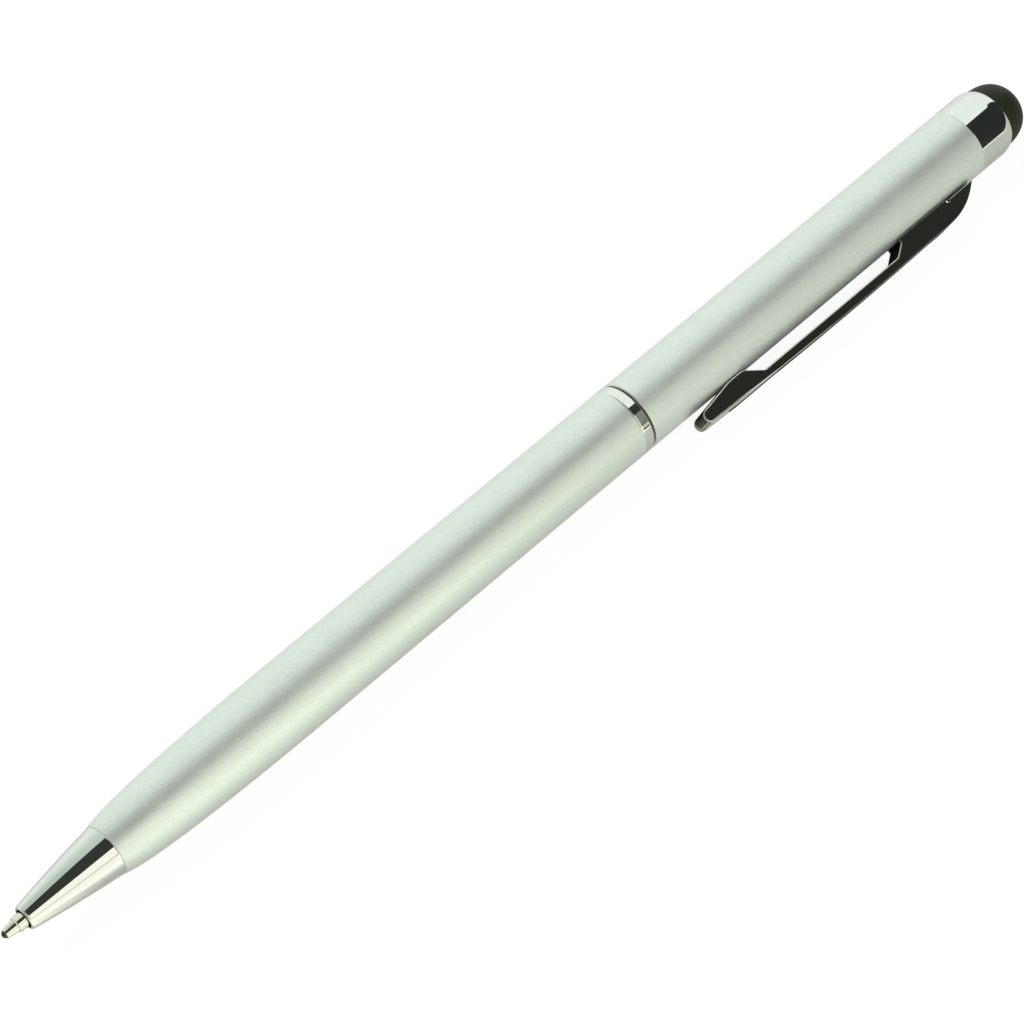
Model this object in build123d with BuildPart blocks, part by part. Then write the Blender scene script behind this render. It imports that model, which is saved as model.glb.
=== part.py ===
from build123d import *

import os
from math import asin, atan, atan2, cos, degrees, hypot, pi, radians, sin, sqrt

# Twist-action ballpoint pen with a rubber stylus dome, lying on a flat surface with its point out.
# Lengths are in millimetres, angles in degrees. The pen's axis is X, with the writing point at -X
# and the stylus dome at +X, and Z is up. The pen rests on its barrels and on one bend of its clip,
# which points to -Y and a little down. The origin is on the axis, halfway along the lower barrel's
# straight stretch.

# Lengths seen from outside, from the writing ball to the stylus dome
point_reach = 2.5
nose_length = 9.79
taper_length = 23.59
grip_length = 42.54
band_length = 1.19
twist_gap = 0.22
clip_setback = 5.37
clip_length = 40.4
clip_tail_margin = 2.35
collar_length = 4.7
dome_height = 3.7

# Barrels: both are tubes of one radius, and the lower one tapers to the nose
barrel_radius = 3.75
barrel_wall = 0.4
seam_radius = 2.67
taper_front_share = 0.128
taper_rise_share = 0.846
taper_rear_share = 0.314
seat_margin = 1.0
bore_runout = 6.0
seam_bevel = 0.06
band_bevel = 0.12
upper_bevel = 0.18

# Fits
press_gap = 0.02
running_gap = 0.05
refill_play = 0.27
cut_overrun = 1.0

# Refill: ball, point, tube and plug
ball_radius = 0.4
ball_play = 0.02
ball_reach = 0.3
lip_wall = 0.05
cone_length = 1.2
cone_rise = 0.16
neck_step = 0.15
neck_bevel = 0.1
shoulder_rise = 0.25
shoulder_run = 0.9
shoulder_setback = 1.0
point_collar_length = 0.5
point_collar_bevel = 0.2
point_tail_length = 4.0
duct_radius = 0.2
feed_wall = 0.35
refill_radius = 1.2
refill_wall = 0.2
tube_setback = 0.7
plug_collar_length = 2.0
plug_tail_length = 4.0
ink_headroom = 10.0

# Nose: a turned cone with a rounded mouth and a spigot in the lower barrel
mouth_play = 0.13
mouth_wall = 0.34
mouth_land = 2.0
rim_round = 0.28
nose_bulge = 0.07
seam_step = 0.03
lead_in = 0.8
chamber_play = 0.2
bore_step_setback = 1.8
spigot_wall = 0.5
spigot_length = 5.0

# Twist action: the upper half turns by twist_turn while the refill travels
twist_turn = 180.0
refill_travel = 5.0
carrier_step = 0.3
carrier_front_length = 6.0
carrier_rear_length = 2.5
socket_wall = 0.6
socket_depth = 4.0
stem_end_gap = 0.2
pin_radius = 0.4
pin_play = 0.1
pin_end_gap = 0.1
housing_wall = 0.35
housing_tail = 1.5
cam_wall = 0.5
cam_land = 4.0
bush_length = 10.0
band_seat_depth = 0.43
friction_ring_section = 0.3
ring_width = 0.8
ring_groove = 0.12
ring_height = 0.45
ring_opening = 1.6
liner_setback = 0.3
liner_slit = 1.0

# Clip: a bent sheet channel, open at its free end, held by a tab with a foot
clip_sheet = 0.4
clip_stand = 2.16
clip_front_width = 3.05
clip_rear_width = 3.3
bend_radius = 0.3
spine_face_tilt = 45.0
spine_bow = 0.275
front_drop = 0.19
front_gap = 0.64
belly_setback = 4.55
belly_length = 1.9
belly_rise_run = 1.95
belly_gap = 0.04
arm_gap = 1.25
step_run = 1.45
step_gap = 0.3
base_length = 6.95
notch_width = 0.4
notch_gap = 0.25
tail_overhang = 3.6
tail_run = 5.45
tail_gap = 0.05
tab_width = 1.8
tab_play = 0.2
foot_length = 1.0
foot_gap = 0.4
foot_thickness = 0.45
front_spine_round = 0.7
front_belly_round = 0.6
belly_front_round = 6.0
belly_rear_round = 1.2
arm_corner_round = 0.5
step_round = 0.15
anchor_lead = 2.0
anchor_wall = 0.8
anchor_end_gap = 0.1

# Stylus end: a collar in the upper barrel holds the rubber dome by its flange
collar_spigot_length = 2.8
collar_drop = 0.33
collar_shoulder = 1.3
collar_wall = 0.26
dome_fullness_share = 0.64
dome_wall = 0.8
dome_floor = 0.6
skirt_length = 3.0
flange_length = 1.2
flange_reach = 0.25
core_disc_length = 0.8
core_rise = 0.4

# Places along the axis that follow from the outside lengths
grip_front_x = -grip_length / 2
seam_x = grip_front_x - taper_length
mouth_x = seam_x - nose_length
ball_front_x = mouth_x - point_reach
band_x = grip_length / 2
band_rear_x = band_x + band_length
upper_x = band_rear_x + twist_gap
clip_front_x = upper_x + clip_setback
clip_rear_x = clip_front_x + clip_length
collar_x = clip_rear_x + clip_tail_margin
dome_x = collar_x + collar_length
dome_end_x = dome_x + dome_height

# Radii that stack outward from the refill to the nose and to the twist action
refill_bore = refill_radius - refill_wall
refill_fill = refill_bore - press_gap
nose_bore = refill_radius + refill_play
spigot_radius = nose_bore + spigot_wall
front_bore = spigot_radius + press_gap
carrier_radius = refill_radius + carrier_step
carrier_socket = carrier_radius - socket_wall
housing_bore = carrier_radius + running_gap
housing_radius = housing_bore + housing_wall
cam_bore = housing_radius + running_gap
cam_radius = cam_bore + cam_wall
liner_bore = cam_radius + press_gap

# Radii that stack inward from the barrels
bore_radius = barrel_radius - barrel_wall
insert_radius = bore_radius - press_gap
bush_neck = insert_radius - band_seat_depth

# Places along the axis in the twist action
bush_front_x = band_x - bush_length
friction_ring_x = band_rear_x + running_gap + friction_ring_section
cam_front_x = friction_ring_x + friction_ring_section + running_gap
pin_x = cam_front_x + cam_land
cam_rear_x = pin_x + refill_travel + cam_land
ring_x = cam_rear_x + running_gap
ring_rear_x = ring_x + ring_width
housing_rear_x = ring_rear_x + housing_tail
carrier_front_x = pin_x - carrier_front_length


# Lower barrel: a drawn tube whose nose end is turned to a rounded taper
taper_rise = barrel_radius - seam_radius

with BuildPart() as lower_barrel:
    with BuildSketch():
        with BuildLine():
            Bezier(
                (seam_x, seam_radius),
                (seam_x + taper_front_share * taper_length, seam_radius + taper_rise_share * taper_rise),
                (grip_front_x - taper_rear_share * taper_length, barrel_radius),
                (grip_front_x, barrel_radius),
            )
            Polyline(
                (grip_front_x, barrel_radius),
                (band_x, barrel_radius),
                (band_x, bore_radius),
                (grip_front_x - bore_runout, bore_radius),
                (seam_x + spigot_length + seat_margin, front_bore),
                (seam_x, front_bore),
                (seam_x, seam_radius),
            )
        make_face()
    revolve(axis=Axis.X)
    chamfer(lower_barrel.edges().group_by(Axis.X)[-1].sort_by(SortBy.RADIUS)[-1], seam_bevel)


# Ball and refill point: the socket wall runs round the ball from the lip back to the ink duct
ball_x = ball_front_x + ball_radius
lip_x = ball_front_x + ball_reach
socket_radius = ball_radius + ball_play
lip_bore = sqrt(socket_radius**2 - (ball_x - lip_x) ** 2)
lip_radius = lip_bore + lip_wall
cone_rear_x = lip_x + cone_length
cone_radius = lip_radius + cone_rise
neck_radius = cone_radius + neck_step
shoulder_radius = neck_radius + shoulder_rise
chamber_x = mouth_x + mouth_land + lead_in
shoulder_x = chamber_x + shoulder_setback
bore_step_x = seam_x - bore_step_setback
point_collar_x = bore_step_x + tube_setback
tube_front_x = point_collar_x + point_collar_length
point_tail_x = tube_front_x + point_tail_length
feed_radius = refill_fill - feed_wall
duct_x = ball_x + sqrt(socket_radius**2 - duct_radius**2)
lip_angle = atan2(lip_bore, lip_x - ball_x)
duct_angle = atan2(duct_radius, duct_x - ball_x)
socket_angle = (lip_angle + duct_angle) / 2
socket_middle = (ball_x + socket_radius * cos(socket_angle), socket_radius * sin(socket_angle))

with BuildPart() as writing_ball:
    with Locations((ball_x, 0, 0)):
        Sphere(ball_radius)

with BuildPart() as refill_point:
    with BuildSketch():
        with BuildLine():
            ThreePointArc((lip_x, lip_bore), socket_middle, (duct_x, duct_radius))
            Polyline(
                (duct_x, duct_radius),
                (shoulder_x, duct_radius),
                (shoulder_x + shoulder_run, feed_radius),
                (point_tail_x, feed_radius),
                (point_tail_x, refill_fill),
                (tube_front_x, refill_fill),
                (tube_front_x, refill_radius),
                (point_collar_x + point_collar_bevel, refill_radius),
                (point_collar_x, shoulder_radius),
                (shoulder_x + shoulder_run, shoulder_radius),
                (shoulder_x, neck_radius),
                (cone_rear_x + neck_bevel, neck_radius),
                (cone_rear_x, cone_radius),
                (lip_x, lip_radius),
                (lip_x, lip_bore),
            )
        make_face()
    revolve(axis=Axis.X)


# Nose: the mouth guides the point's neck, and the chamber behind it clears the shoulder
mouth_bore = neck_radius + mouth_play
mouth_radius = mouth_bore + mouth_wall
chamber_radius = shoulder_radius + chamber_play
nose_rear_radius = seam_radius - seam_step

with BuildPart() as nose_cone:
    with BuildSketch() as nose_section:
        with BuildLine():
            SagittaArc((mouth_x, mouth_radius), (seam_x, nose_rear_radius), nose_bulge)
            Polyline(
                (seam_x, nose_rear_radius),
                (seam_x, spigot_radius),
                (seam_x + spigot_length, spigot_radius),
                (seam_x + spigot_length, nose_bore),
                (bore_step_x, nose_bore),
                (bore_step_x - lead_in, chamber_radius),
                (chamber_x, chamber_radius),
                (mouth_x + mouth_land, mouth_bore),
                (mouth_x, mouth_bore),
                (mouth_x, mouth_radius),
            )
        make_face()
        fillet(nose_section.vertices().group_by(Axis.X)[0].sort_by(Axis.Y)[-1], rim_round)
    revolve(axis=Axis.X)


# Refill tube, the ink in it, and the plug at its rear that snaps into the carrier
plug_rear_x = carrier_front_x - press_gap
tube_rear_x = plug_rear_x - plug_collar_length
plug_tail_x = tube_rear_x - plug_tail_length
stem_rear_x = carrier_front_x + socket_depth - stem_end_gap
ink_front_x = point_tail_x + press_gap
ink_rear_x = plug_tail_x - ink_headroom

with BuildPart() as refill_tube:
    with BuildSketch(Plane.YZ.offset(tube_front_x)):
        Circle(refill_radius)
        Circle(refill_bore, mode=Mode.SUBTRACT)
    extrude(amount=tube_rear_x - tube_front_x)

with BuildPart() as ink:
    with BuildSketch(Plane.YZ.offset(ink_front_x)):
        Circle(refill_fill)
    extrude(amount=ink_rear_x - ink_front_x)

with BuildPart() as refill_plug:
    with BuildSketch(Plane.YZ.offset(plug_tail_x)):
        Circle(refill_fill)
    extrude(amount=plug_tail_length)
    with BuildSketch(Plane.YZ.offset(tube_rear_x)):
        Circle(refill_radius)
    extrude(amount=plug_collar_length)
    with BuildSketch(Plane.YZ.offset(plug_rear_x)):
        Circle(carrier_socket - press_gap)
    extrude(amount=stem_rear_x - plug_rear_x)


# Carrier: slides in the guide tube with the refill in its socket and a cross pin through it
with BuildPart() as carrier:
    with BuildSketch(Plane.YZ.offset(carrier_front_x)):
        Circle(carrier_radius)
    extrude(amount=carrier_front_length + carrier_rear_length)
    with BuildSketch(Plane.YZ.offset(carrier_front_x)):
        Circle(carrier_socket)
    extrude(amount=socket_depth, mode=Mode.SUBTRACT)
    with BuildSketch():
        with Locations((pin_x, 0)):
            Circle(pin_radius + press_gap)
    extrude(amount=carrier_radius + cut_overrun, both=True, mode=Mode.SUBTRACT)

with BuildPart() as carrier_pin:
    with BuildSketch():
        with Locations((pin_x, 0)):
            Circle(pin_radius)
    extrude(amount=cam_radius - pin_end_gap, both=True)


# Twist joint: a bush in the lower barrel holds the guide tube and carries the chromed band
bush_bore = housing_radius + press_gap
band_bore = bush_neck + press_gap

with BuildPart() as housing_bush:
    with BuildSketch(Plane.YZ.offset(bush_front_x)):
        Circle(insert_radius)
    extrude(amount=bush_length)
    with BuildSketch(Plane.YZ.offset(band_x)):
        Circle(bush_neck)
    extrude(amount=band_length)
    with BuildSketch(Plane.YZ.offset(bush_front_x)):
        Circle(bush_bore)
    extrude(amount=bush_length + band_length, mode=Mode.SUBTRACT)

with BuildPart() as centre_band:
    with BuildSketch() as band_section:
        with BuildLine():
            Polyline(
                (band_x, band_bore),
                (band_x, barrel_radius),
                (band_rear_x, barrel_radius),
                (band_rear_x, band_bore),
                close=True,
            )
        make_face()
        chamfer(band_section.vertices().group_by(Axis.Y)[-1], band_bevel)
    revolve(axis=Axis.X)

# The guide tube's two straight slots keep the cross pin from turning
groove_radius = housing_radius - ring_groove
slot_width = 2 * (pin_radius + pin_play)

with BuildPart() as mechanism_housing:
    with BuildSketch():
        with BuildLine():
            Polyline(
                (bush_front_x, housing_bore),
                (bush_front_x, housing_radius),
                (ring_x - press_gap, housing_radius),
                (ring_x - press_gap, groove_radius),
                (ring_rear_x + press_gap, groove_radius),
                (ring_rear_x + press_gap, housing_radius),
                (housing_rear_x, housing_radius),
                (housing_rear_x, housing_bore),
                close=True,
            )
        make_face()
    revolve(axis=Axis.X)
    with BuildSketch():
        with Locations((pin_x + refill_travel / 2, 0)):
            SlotCenterToCenter(refill_travel, slot_width)
    extrude(amount=housing_radius + cut_overrun, both=True, mode=Mode.SUBTRACT)

# The open ring snaps into the guide tube's groove behind the cam sleeve
with BuildPart() as retaining_ring:
    with BuildSketch(Plane.YZ.offset(ring_x)):
        Circle(housing_radius + ring_height)
        Circle(groove_radius + press_gap, mode=Mode.SUBTRACT)
        with Locations((0, housing_radius)):
            Rectangle(ring_opening, housing_radius, mode=Mode.SUBTRACT)
    extrude(amount=ring_width)

with BuildPart() as friction_ring:
    with BuildSketch():
        with Locations((friction_ring_x, housing_radius + press_gap + friction_ring_section)):
            Circle(friction_ring_section)
    revolve(axis=Axis.X)


# Cam sleeve: two helical slots push the cross pin along as the sleeve turns
slot_radius = (cam_bore + cam_radius) / 2
slot_depth = cam_wall + 2 * cut_overrun
lead = refill_travel * 360 / twist_turn
slot_lean = atan(lead / (2 * pi * cam_bore))

with BuildPart() as cam_slot:
    with BuildLine() as slot_path:
        Helix(lead, refill_travel, slot_radius, center=(pin_x, 0, 0), direction=(1, 0, 0), lefthand=True)
    with BuildSketch(Plane.XZ):
        with Locations((pin_x, slot_radius)):
            Rectangle(slot_width / cos(slot_lean), slot_depth)
    sweep(path=slot_path.line, is_frenet=True)
    for end_x, end_turn in ((pin_x, 0), (pin_x + refill_travel, radians(twist_turn))):
        end_plane = Plane((end_x, 0, 0), z_dir=(0, sin(end_turn), cos(end_turn)))
        with BuildSketch(end_plane.offset(slot_radius - slot_depth / 2)):
            Circle(slot_width / 2)
        extrude(amount=slot_depth)

with BuildPart() as cam_sleeve:
    with BuildSketch(Plane.YZ.offset(cam_front_x)):
        Circle(cam_radius)
        Circle(cam_bore, mode=Mode.SUBTRACT)
    extrude(amount=cam_rear_x - cam_front_x)
    for pin_end_turn in (0, 180):
        add(cam_slot.part, rotation=(pin_end_turn, 0, 0), mode=Mode.SUBTRACT)

# The liner is slit along its length, so that it springs against the cam sleeve
liner_front_x = upper_x + liner_setback

with BuildPart() as grip_liner:
    with BuildSketch(Plane.YZ.offset(liner_front_x)):
        Circle(insert_radius)
        Circle(liner_bore, mode=Mode.SUBTRACT)
        with Locations((bore_radius, 0)):
            Rectangle(2 * (bore_radius - cam_bore), liner_slit, mode=Mode.SUBTRACT)
    extrude(amount=cam_rear_x - liner_front_x)


# Clip outline: along the pen, and outward from its axis
spine_end_x = clip_rear_x - tail_run
spine_end_radius = barrel_radius + clip_stand
spine_front_radius = spine_end_radius - front_drop
arm_radius = barrel_radius + arm_gap
tail_radius = barrel_radius + tail_gap
notch_radius = barrel_radius + notch_gap
belly_front_x = clip_front_x + belly_setback
belly_rear_x = belly_front_x + belly_length
arm_front_x = belly_rear_x + belly_rise_run
notch_rear_x = clip_rear_x - tail_overhang
notch_front_x = notch_rear_x - notch_width
base_front_x = notch_front_x - base_length
arm_rear_x = base_front_x - step_run

# The spine is a shallow bow over a sloping chord, and its tail goes on in a tighter bend to the barrel
bow_half = hypot(spine_end_x - clip_front_x, front_drop) / 2
bow_bend = (bow_half**2 + spine_bow**2) / (2 * spine_bow)
bow_slope = atan2(front_drop, spine_end_x - clip_front_x)
bow_angle = asin(bow_half / bow_bend) - bow_slope
bow_centre = (spine_end_x - bow_bend * sin(bow_angle), spine_end_radius - bow_bend * cos(bow_angle))
spine_radius = bow_centre[1] + bow_bend
tail_fall = spine_end_radius - tail_radius
tail_sag = tail_fall * cos(bow_angle) - tail_run * sin(bow_angle)
tail_bend = (tail_run**2 + tail_fall**2) / (2 * tail_sag)
tail_centre = (spine_end_x - tail_bend * sin(bow_angle), spine_end_radius - tail_bend * cos(bow_angle))
tail_angle = asin((clip_rear_x - tail_centre[0]) / tail_bend)


def clip_half_width(x):
    """Half of the clip's width at a place along the pen."""
    along = (x - clip_front_x) / clip_length
    return (clip_front_width + along * (clip_rear_width - clip_front_width)) / 2


def on_bend(centre, radius, angle):
    """The point of a bend at an angle from straight outward, towards the tail."""
    return (centre[0] + radius * sin(angle), centre[1] + radius * cos(angle))


def looks_outward(face):
    """Whether a face of the clip looks away from the pen rather than sideways."""
    return face.normal_at().dot(Vector(clip_out)) > cos(radians(spine_face_tilt))


# The clip's lower bend and the barrels touch the same flat surface
rest_arm = spine_radius - bend_radius
rest_side = clip_half_width(bow_centre[0]) - bend_radius
clip_lean = asin((barrel_radius - bend_radius) / hypot(rest_arm, rest_side)) - atan2(rest_side, rest_arm)
clip_out = (0, -cos(clip_lean), -sin(clip_lean))
clip_across = (0, sin(clip_lean), -cos(clip_lean))
clip_side_plane = Plane((0, 0, 0), x_dir=(1, 0, 0), z_dir=clip_across)
clip_top_plane = Plane((0, 0, 0), x_dir=(1, 0, 0), z_dir=clip_out)

# The walls' inner corners stand just off the barrel, and the tab's foot lies just inside its wall
wall_inset = min(clip_front_width, clip_rear_width) / 2 - clip_sheet
belly_radius = sqrt(barrel_radius**2 - wall_inset**2) + belly_gap
foot_radius = sqrt(bore_radius**2 - (tab_width / 2) ** 2) - foot_gap
foot_floor = foot_radius - foot_thickness
tab_top = tail_centre[1] + sqrt(tail_bend**2 - (notch_rear_x - tail_centre[0]) ** 2) - clip_sheet / 2

# Both the channel and its hollow run past the ends, where the outline cuts them
front_angle = asin((bow_centre[0] - clip_front_x + cut_overrun) / bow_bend)
rear_angle = tail_angle + cut_overrun / tail_bend

with BuildPart() as clip_hollow:
    with BuildSketch(clip_side_plane):
        with BuildLine():
            hollow_front = on_bend(bow_centre, bow_bend - clip_sheet, -front_angle)
            hollow_end = on_bend(bow_centre, bow_bend - clip_sheet, bow_angle)
            hollow_tail = on_bend(tail_centre, tail_bend - clip_sheet, rear_angle)
            ThreePointArc(hollow_front, on_bend(bow_centre, bow_bend - clip_sheet, 0), hollow_end)
            ThreePointArc(
                hollow_end,
                on_bend(tail_centre, tail_bend - clip_sheet, (bow_angle + rear_angle) / 2),
                hollow_tail,
            )
            Polyline(hollow_tail, (hollow_tail[0], 0), (hollow_front[0], 0), hollow_front)
        make_face()
    extrude(amount=clip_rear_width, both=True)
    with BuildSketch(clip_top_plane):
        with BuildLine():
            plan_front_x = clip_front_x - 2 * cut_overrun
            plan_rear_x = clip_rear_x + 2 * cut_overrun
            plan_front_half = clip_half_width(plan_front_x) - clip_sheet
            plan_rear_half = clip_half_width(plan_rear_x) - clip_sheet
            Polyline(
                (plan_front_x, plan_front_half),
                (plan_rear_x, plan_rear_half),
                (plan_rear_x, -plan_rear_half),
                (plan_front_x, -plan_front_half),
                close=True,
            )
        make_face()
    extrude(amount=spine_radius + cut_overrun, mode=Mode.INTERSECT)

# The clip: a bar under the spine with rounded bends, cut to the outline and hollowed to a channel
with BuildPart() as clip:
    with BuildSketch(clip_side_plane):
        with BuildLine():
            spine_front = on_bend(bow_centre, bow_bend, -front_angle)
            spine_end = on_bend(bow_centre, bow_bend, bow_angle)
            spine_tail = on_bend(tail_centre, tail_bend, rear_angle)
            ThreePointArc(spine_front, on_bend(bow_centre, bow_bend, 0), spine_end)
            ThreePointArc(
                spine_end,
                on_bend(tail_centre, tail_bend, (bow_angle + rear_angle) / 2),
                spine_tail,
            )
            Polyline(spine_tail, (spine_tail[0], 0), (spine_front[0], 0), spine_front)
        make_face()
    extrude(amount=clip_rear_width, both=True)
    with BuildSketch(clip_top_plane):
        with BuildLine():
            Polyline(
                (plan_front_x, clip_half_width(plan_front_x)),
                (plan_rear_x, clip_half_width(plan_rear_x)),
                (plan_rear_x, -clip_half_width(plan_rear_x)),
                (plan_front_x, -clip_half_width(plan_front_x)),
                close=True,
            )
        make_face()
    extrude(amount=spine_radius + cut_overrun, mode=Mode.INTERSECT)
    spine_faces = clip.faces().filter_by(looks_outward)
    bend_edges = spine_faces.edges().filter_by(lambda edge: edge.length > clip_half_width(plan_rear_x) * 2)
    fillet(bend_edges, bend_radius)
    with BuildSketch(clip_side_plane):
        with BuildLine():
            outline_front = (clip_front_x, spine_front_radius - front_spine_round)
            outline_top = (clip_front_x + front_spine_round, spine_front_radius + 2 * running_gap)
            TangentArc(outline_front, outline_top, tangent=(0, 1))
            FilletPolyline(
                outline_front,
                (clip_front_x, barrel_radius + front_gap),
                (belly_front_x, belly_radius),
                (belly_rear_x, belly_radius),
                (arm_front_x, arm_radius),
                (arm_rear_x, arm_radius),
                (base_front_x, barrel_radius + step_gap),
                (base_front_x, belly_radius),
                (notch_front_x, belly_radius),
                radius=(
                    front_belly_round,
                    belly_front_round,
                    belly_rear_round,
                    arm_corner_round,
                    arm_corner_round,
                    step_round,
                    0,
                ),
            )
            Polyline(
                (notch_front_x, belly_radius),
                (notch_front_x, notch_radius),
                (notch_rear_x, notch_radius),
                (notch_rear_x, tail_radius),
                (clip_rear_x + cut_overrun, tail_radius),
                (clip_rear_x + cut_overrun, spine_radius + cut_overrun),
                (outline_top[0], spine_radius + cut_overrun),
                outline_top,
            )
        make_face()
    extrude(amount=clip_rear_width, both=True, mode=Mode.INTERSECT)
    add(clip_hollow.part, mode=Mode.SUBTRACT)
    with BuildSketch(clip_side_plane):
        with BuildLine():
            Polyline(
                (notch_front_x, tab_top),
                (notch_front_x, foot_radius),
                (notch_front_x - foot_length, foot_radius),
                (notch_front_x - foot_length, foot_floor),
                (notch_rear_x, foot_floor),
                (notch_rear_x, tab_top),
                close=True,
            )
        make_face()
    extrude(amount=tab_width / 2, both=True)


# Upper barrel: its slot lets the clip's foot in, which then slides forward under the wall
tab_slot_front_x = notch_front_x - tab_play
tab_slot_rear_x = notch_rear_x + foot_length + tab_play
tab_slot_half = tab_width / 2 + tab_play

with BuildPart() as upper_barrel:
    with BuildSketch(Plane.YZ.offset(upper_x)):
        Circle(barrel_radius)
        Circle(bore_radius, mode=Mode.SUBTRACT)
    extrude(amount=collar_x - upper_x)
    chamfer(upper_barrel.edges().group_by(Axis.X)[0].sort_by(SortBy.RADIUS)[-1], upper_bevel)
    with BuildSketch(clip_side_plane):
        with BuildLine():
            Polyline(
                (tab_slot_front_x, 0),
                (tab_slot_front_x, barrel_radius + cut_overrun),
                (tab_slot_rear_x, barrel_radius + cut_overrun),
                (tab_slot_rear_x, 0),
                close=True,
            )
        make_face()
    extrude(amount=tab_slot_half, both=True, mode=Mode.SUBTRACT)

# The anchor is pushed in from the rear: its channel passes round the foot, and its end locks it
collar_spigot_x = collar_x - collar_spigot_length
anchor_front_x = notch_front_x - foot_length - anchor_lead
anchor_rear_x = collar_spigot_x - anchor_end_gap
channel_floor = foot_floor - tab_play
channel_rear_x = notch_rear_x + tab_play

with BuildPart() as clip_anchor:
    with BuildSketch(Plane.YZ.offset(anchor_front_x)):
        Circle(insert_radius)
        Circle(channel_floor - anchor_wall, mode=Mode.SUBTRACT)
    extrude(amount=anchor_rear_x - anchor_front_x)
    with BuildSketch(clip_side_plane):
        with BuildLine():
            Polyline(
                (anchor_front_x - cut_overrun, channel_floor),
                (channel_rear_x, channel_floor),
                (channel_rear_x, barrel_radius),
                (anchor_front_x - cut_overrun, barrel_radius),
                close=True,
            )
        make_face()
    extrude(amount=tab_slot_half, both=True, mode=Mode.SUBTRACT)


# Stylus end: collar, hollow rubber dome with a flanged skirt, and the core that spreads the skirt
dome_radius = barrel_radius - collar_drop
flange_radius = insert_radius - collar_wall - press_gap
skirt_radius = flange_radius - flange_reach
skirt_bore = skirt_radius - dome_wall
flange_x = dome_x - skirt_length
flange_rear_x = flange_x + flange_length
cavity_radius = dome_radius - dome_wall
cavity_x = dome_x + dome_floor
cavity_end_x = dome_end_x - dome_wall
core_x = flange_x - press_gap

with BuildPart() as stylus_collar:
    with BuildSketch():
        with BuildLine():
            Line((collar_x, barrel_radius), (dome_x - collar_shoulder, barrel_radius))
            TangentArc((dome_x - collar_shoulder, barrel_radius), (dome_x, dome_radius), tangent=(1, 0))
            Polyline(
                (dome_x, dome_radius),
                (dome_x, skirt_radius + press_gap),
                (flange_rear_x + press_gap, skirt_radius + press_gap),
                (flange_rear_x + press_gap, flange_radius + press_gap),
                (collar_spigot_x, flange_radius + press_gap),
                (collar_spigot_x, insert_radius),
                (collar_x, insert_radius),
                (collar_x, barrel_radius),
            )
        make_face()
    revolve(axis=Axis.X)

with BuildPart() as stylus_dome:
    with BuildSketch():
        with BuildLine():
            Bezier(
                (dome_x, dome_radius),
                (dome_x + dome_fullness_share * dome_height, dome_radius),
                (dome_end_x, dome_fullness_share * dome_radius),
                (dome_end_x, 0),
            )
            Line((dome_end_x, 0), (cavity_end_x, 0))
            Bezier(
                (cavity_end_x, 0),
                (cavity_end_x, dome_fullness_share * cavity_radius),
                (cavity_x + dome_fullness_share * (cavity_end_x - cavity_x), cavity_radius),
                (cavity_x, cavity_radius),
            )
            Polyline(
                (cavity_x, cavity_radius),
                (cavity_x, skirt_bore),
                (flange_x, skirt_bore),
                (flange_x, flange_radius),
                (flange_rear_x, flange_radius),
                (flange_rear_x, skirt_radius),
                (dome_x, skirt_radius),
                (dome_x, dome_radius),
            )
        make_face()
    revolve(axis=Axis.X)

with BuildPart() as stylus_core:
    with BuildSketch(Plane.YZ.offset(core_x - core_disc_length)):
        Circle(flange_radius)
    extrude(amount=core_disc_length)
    with BuildSketch(Plane.YZ.offset(core_x)):
        Circle(skirt_bore - press_gap)
    extrude(amount=dome_x + core_rise - core_x)


pieces = {
    "nose_cone": nose_cone,
    "lower_barrel": lower_barrel,
    "centre_band": centre_band,
    "housing_bush": housing_bush,
    "mechanism_housing": mechanism_housing,
    "retaining_ring": retaining_ring,
    "friction_ring": friction_ring,
    "upper_barrel": upper_barrel,
    "grip_liner": grip_liner,
    "cam_sleeve": cam_sleeve,
    "clip_anchor": clip_anchor,
    "stylus_collar": stylus_collar,
    "stylus_core": stylus_core,
    "stylus_dome": stylus_dome,
    "clip": clip,
    "refill_tube": refill_tube,
    "refill_point": refill_point,
    "ink": ink,
    "refill_plug": refill_plug,
    "carrier": carrier,
    "carrier_pin": carrier_pin,
    "writing_ball": writing_ball,
}

os.makedirs("parts", exist_ok=True)
for label, piece in pieces.items():
    piece.part.label = label
    export_step(piece.part, f"parts/{label}.step")

print(f"clip leans {degrees(clip_lean):.4f} degrees below level, and rocks on its tail at x {clip_rear_x:.4f}")
print(f"clip stands {spine_radius:.4f} off the axis, bow {bow_bend:.4f}, tail {tail_bend:.4f}, tab top {tab_top:.4f}")
print(f"foot from {foot_floor:.4f} to {foot_radius:.4f}, belly {belly_radius:.4f}")
print(f"ball centre at x {ball_x:.4f}, and the pen runs from {ball_front_x:.4f} to {dome_end_x:.4f}")
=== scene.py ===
"""Dresses a twist ball pen with a rubber stylus end.

Sizes in the classes are millimetres, as on a drawing, in the frame of the solids: X runs from the
writing point to the rubber dome, and Z is up. Meshes are written in metres in the same frame.
"""

import logging
import math
from collections.abc import Mapping, Sequence
from dataclasses import dataclass, field
from enum import Enum
from typing import Any

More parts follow.
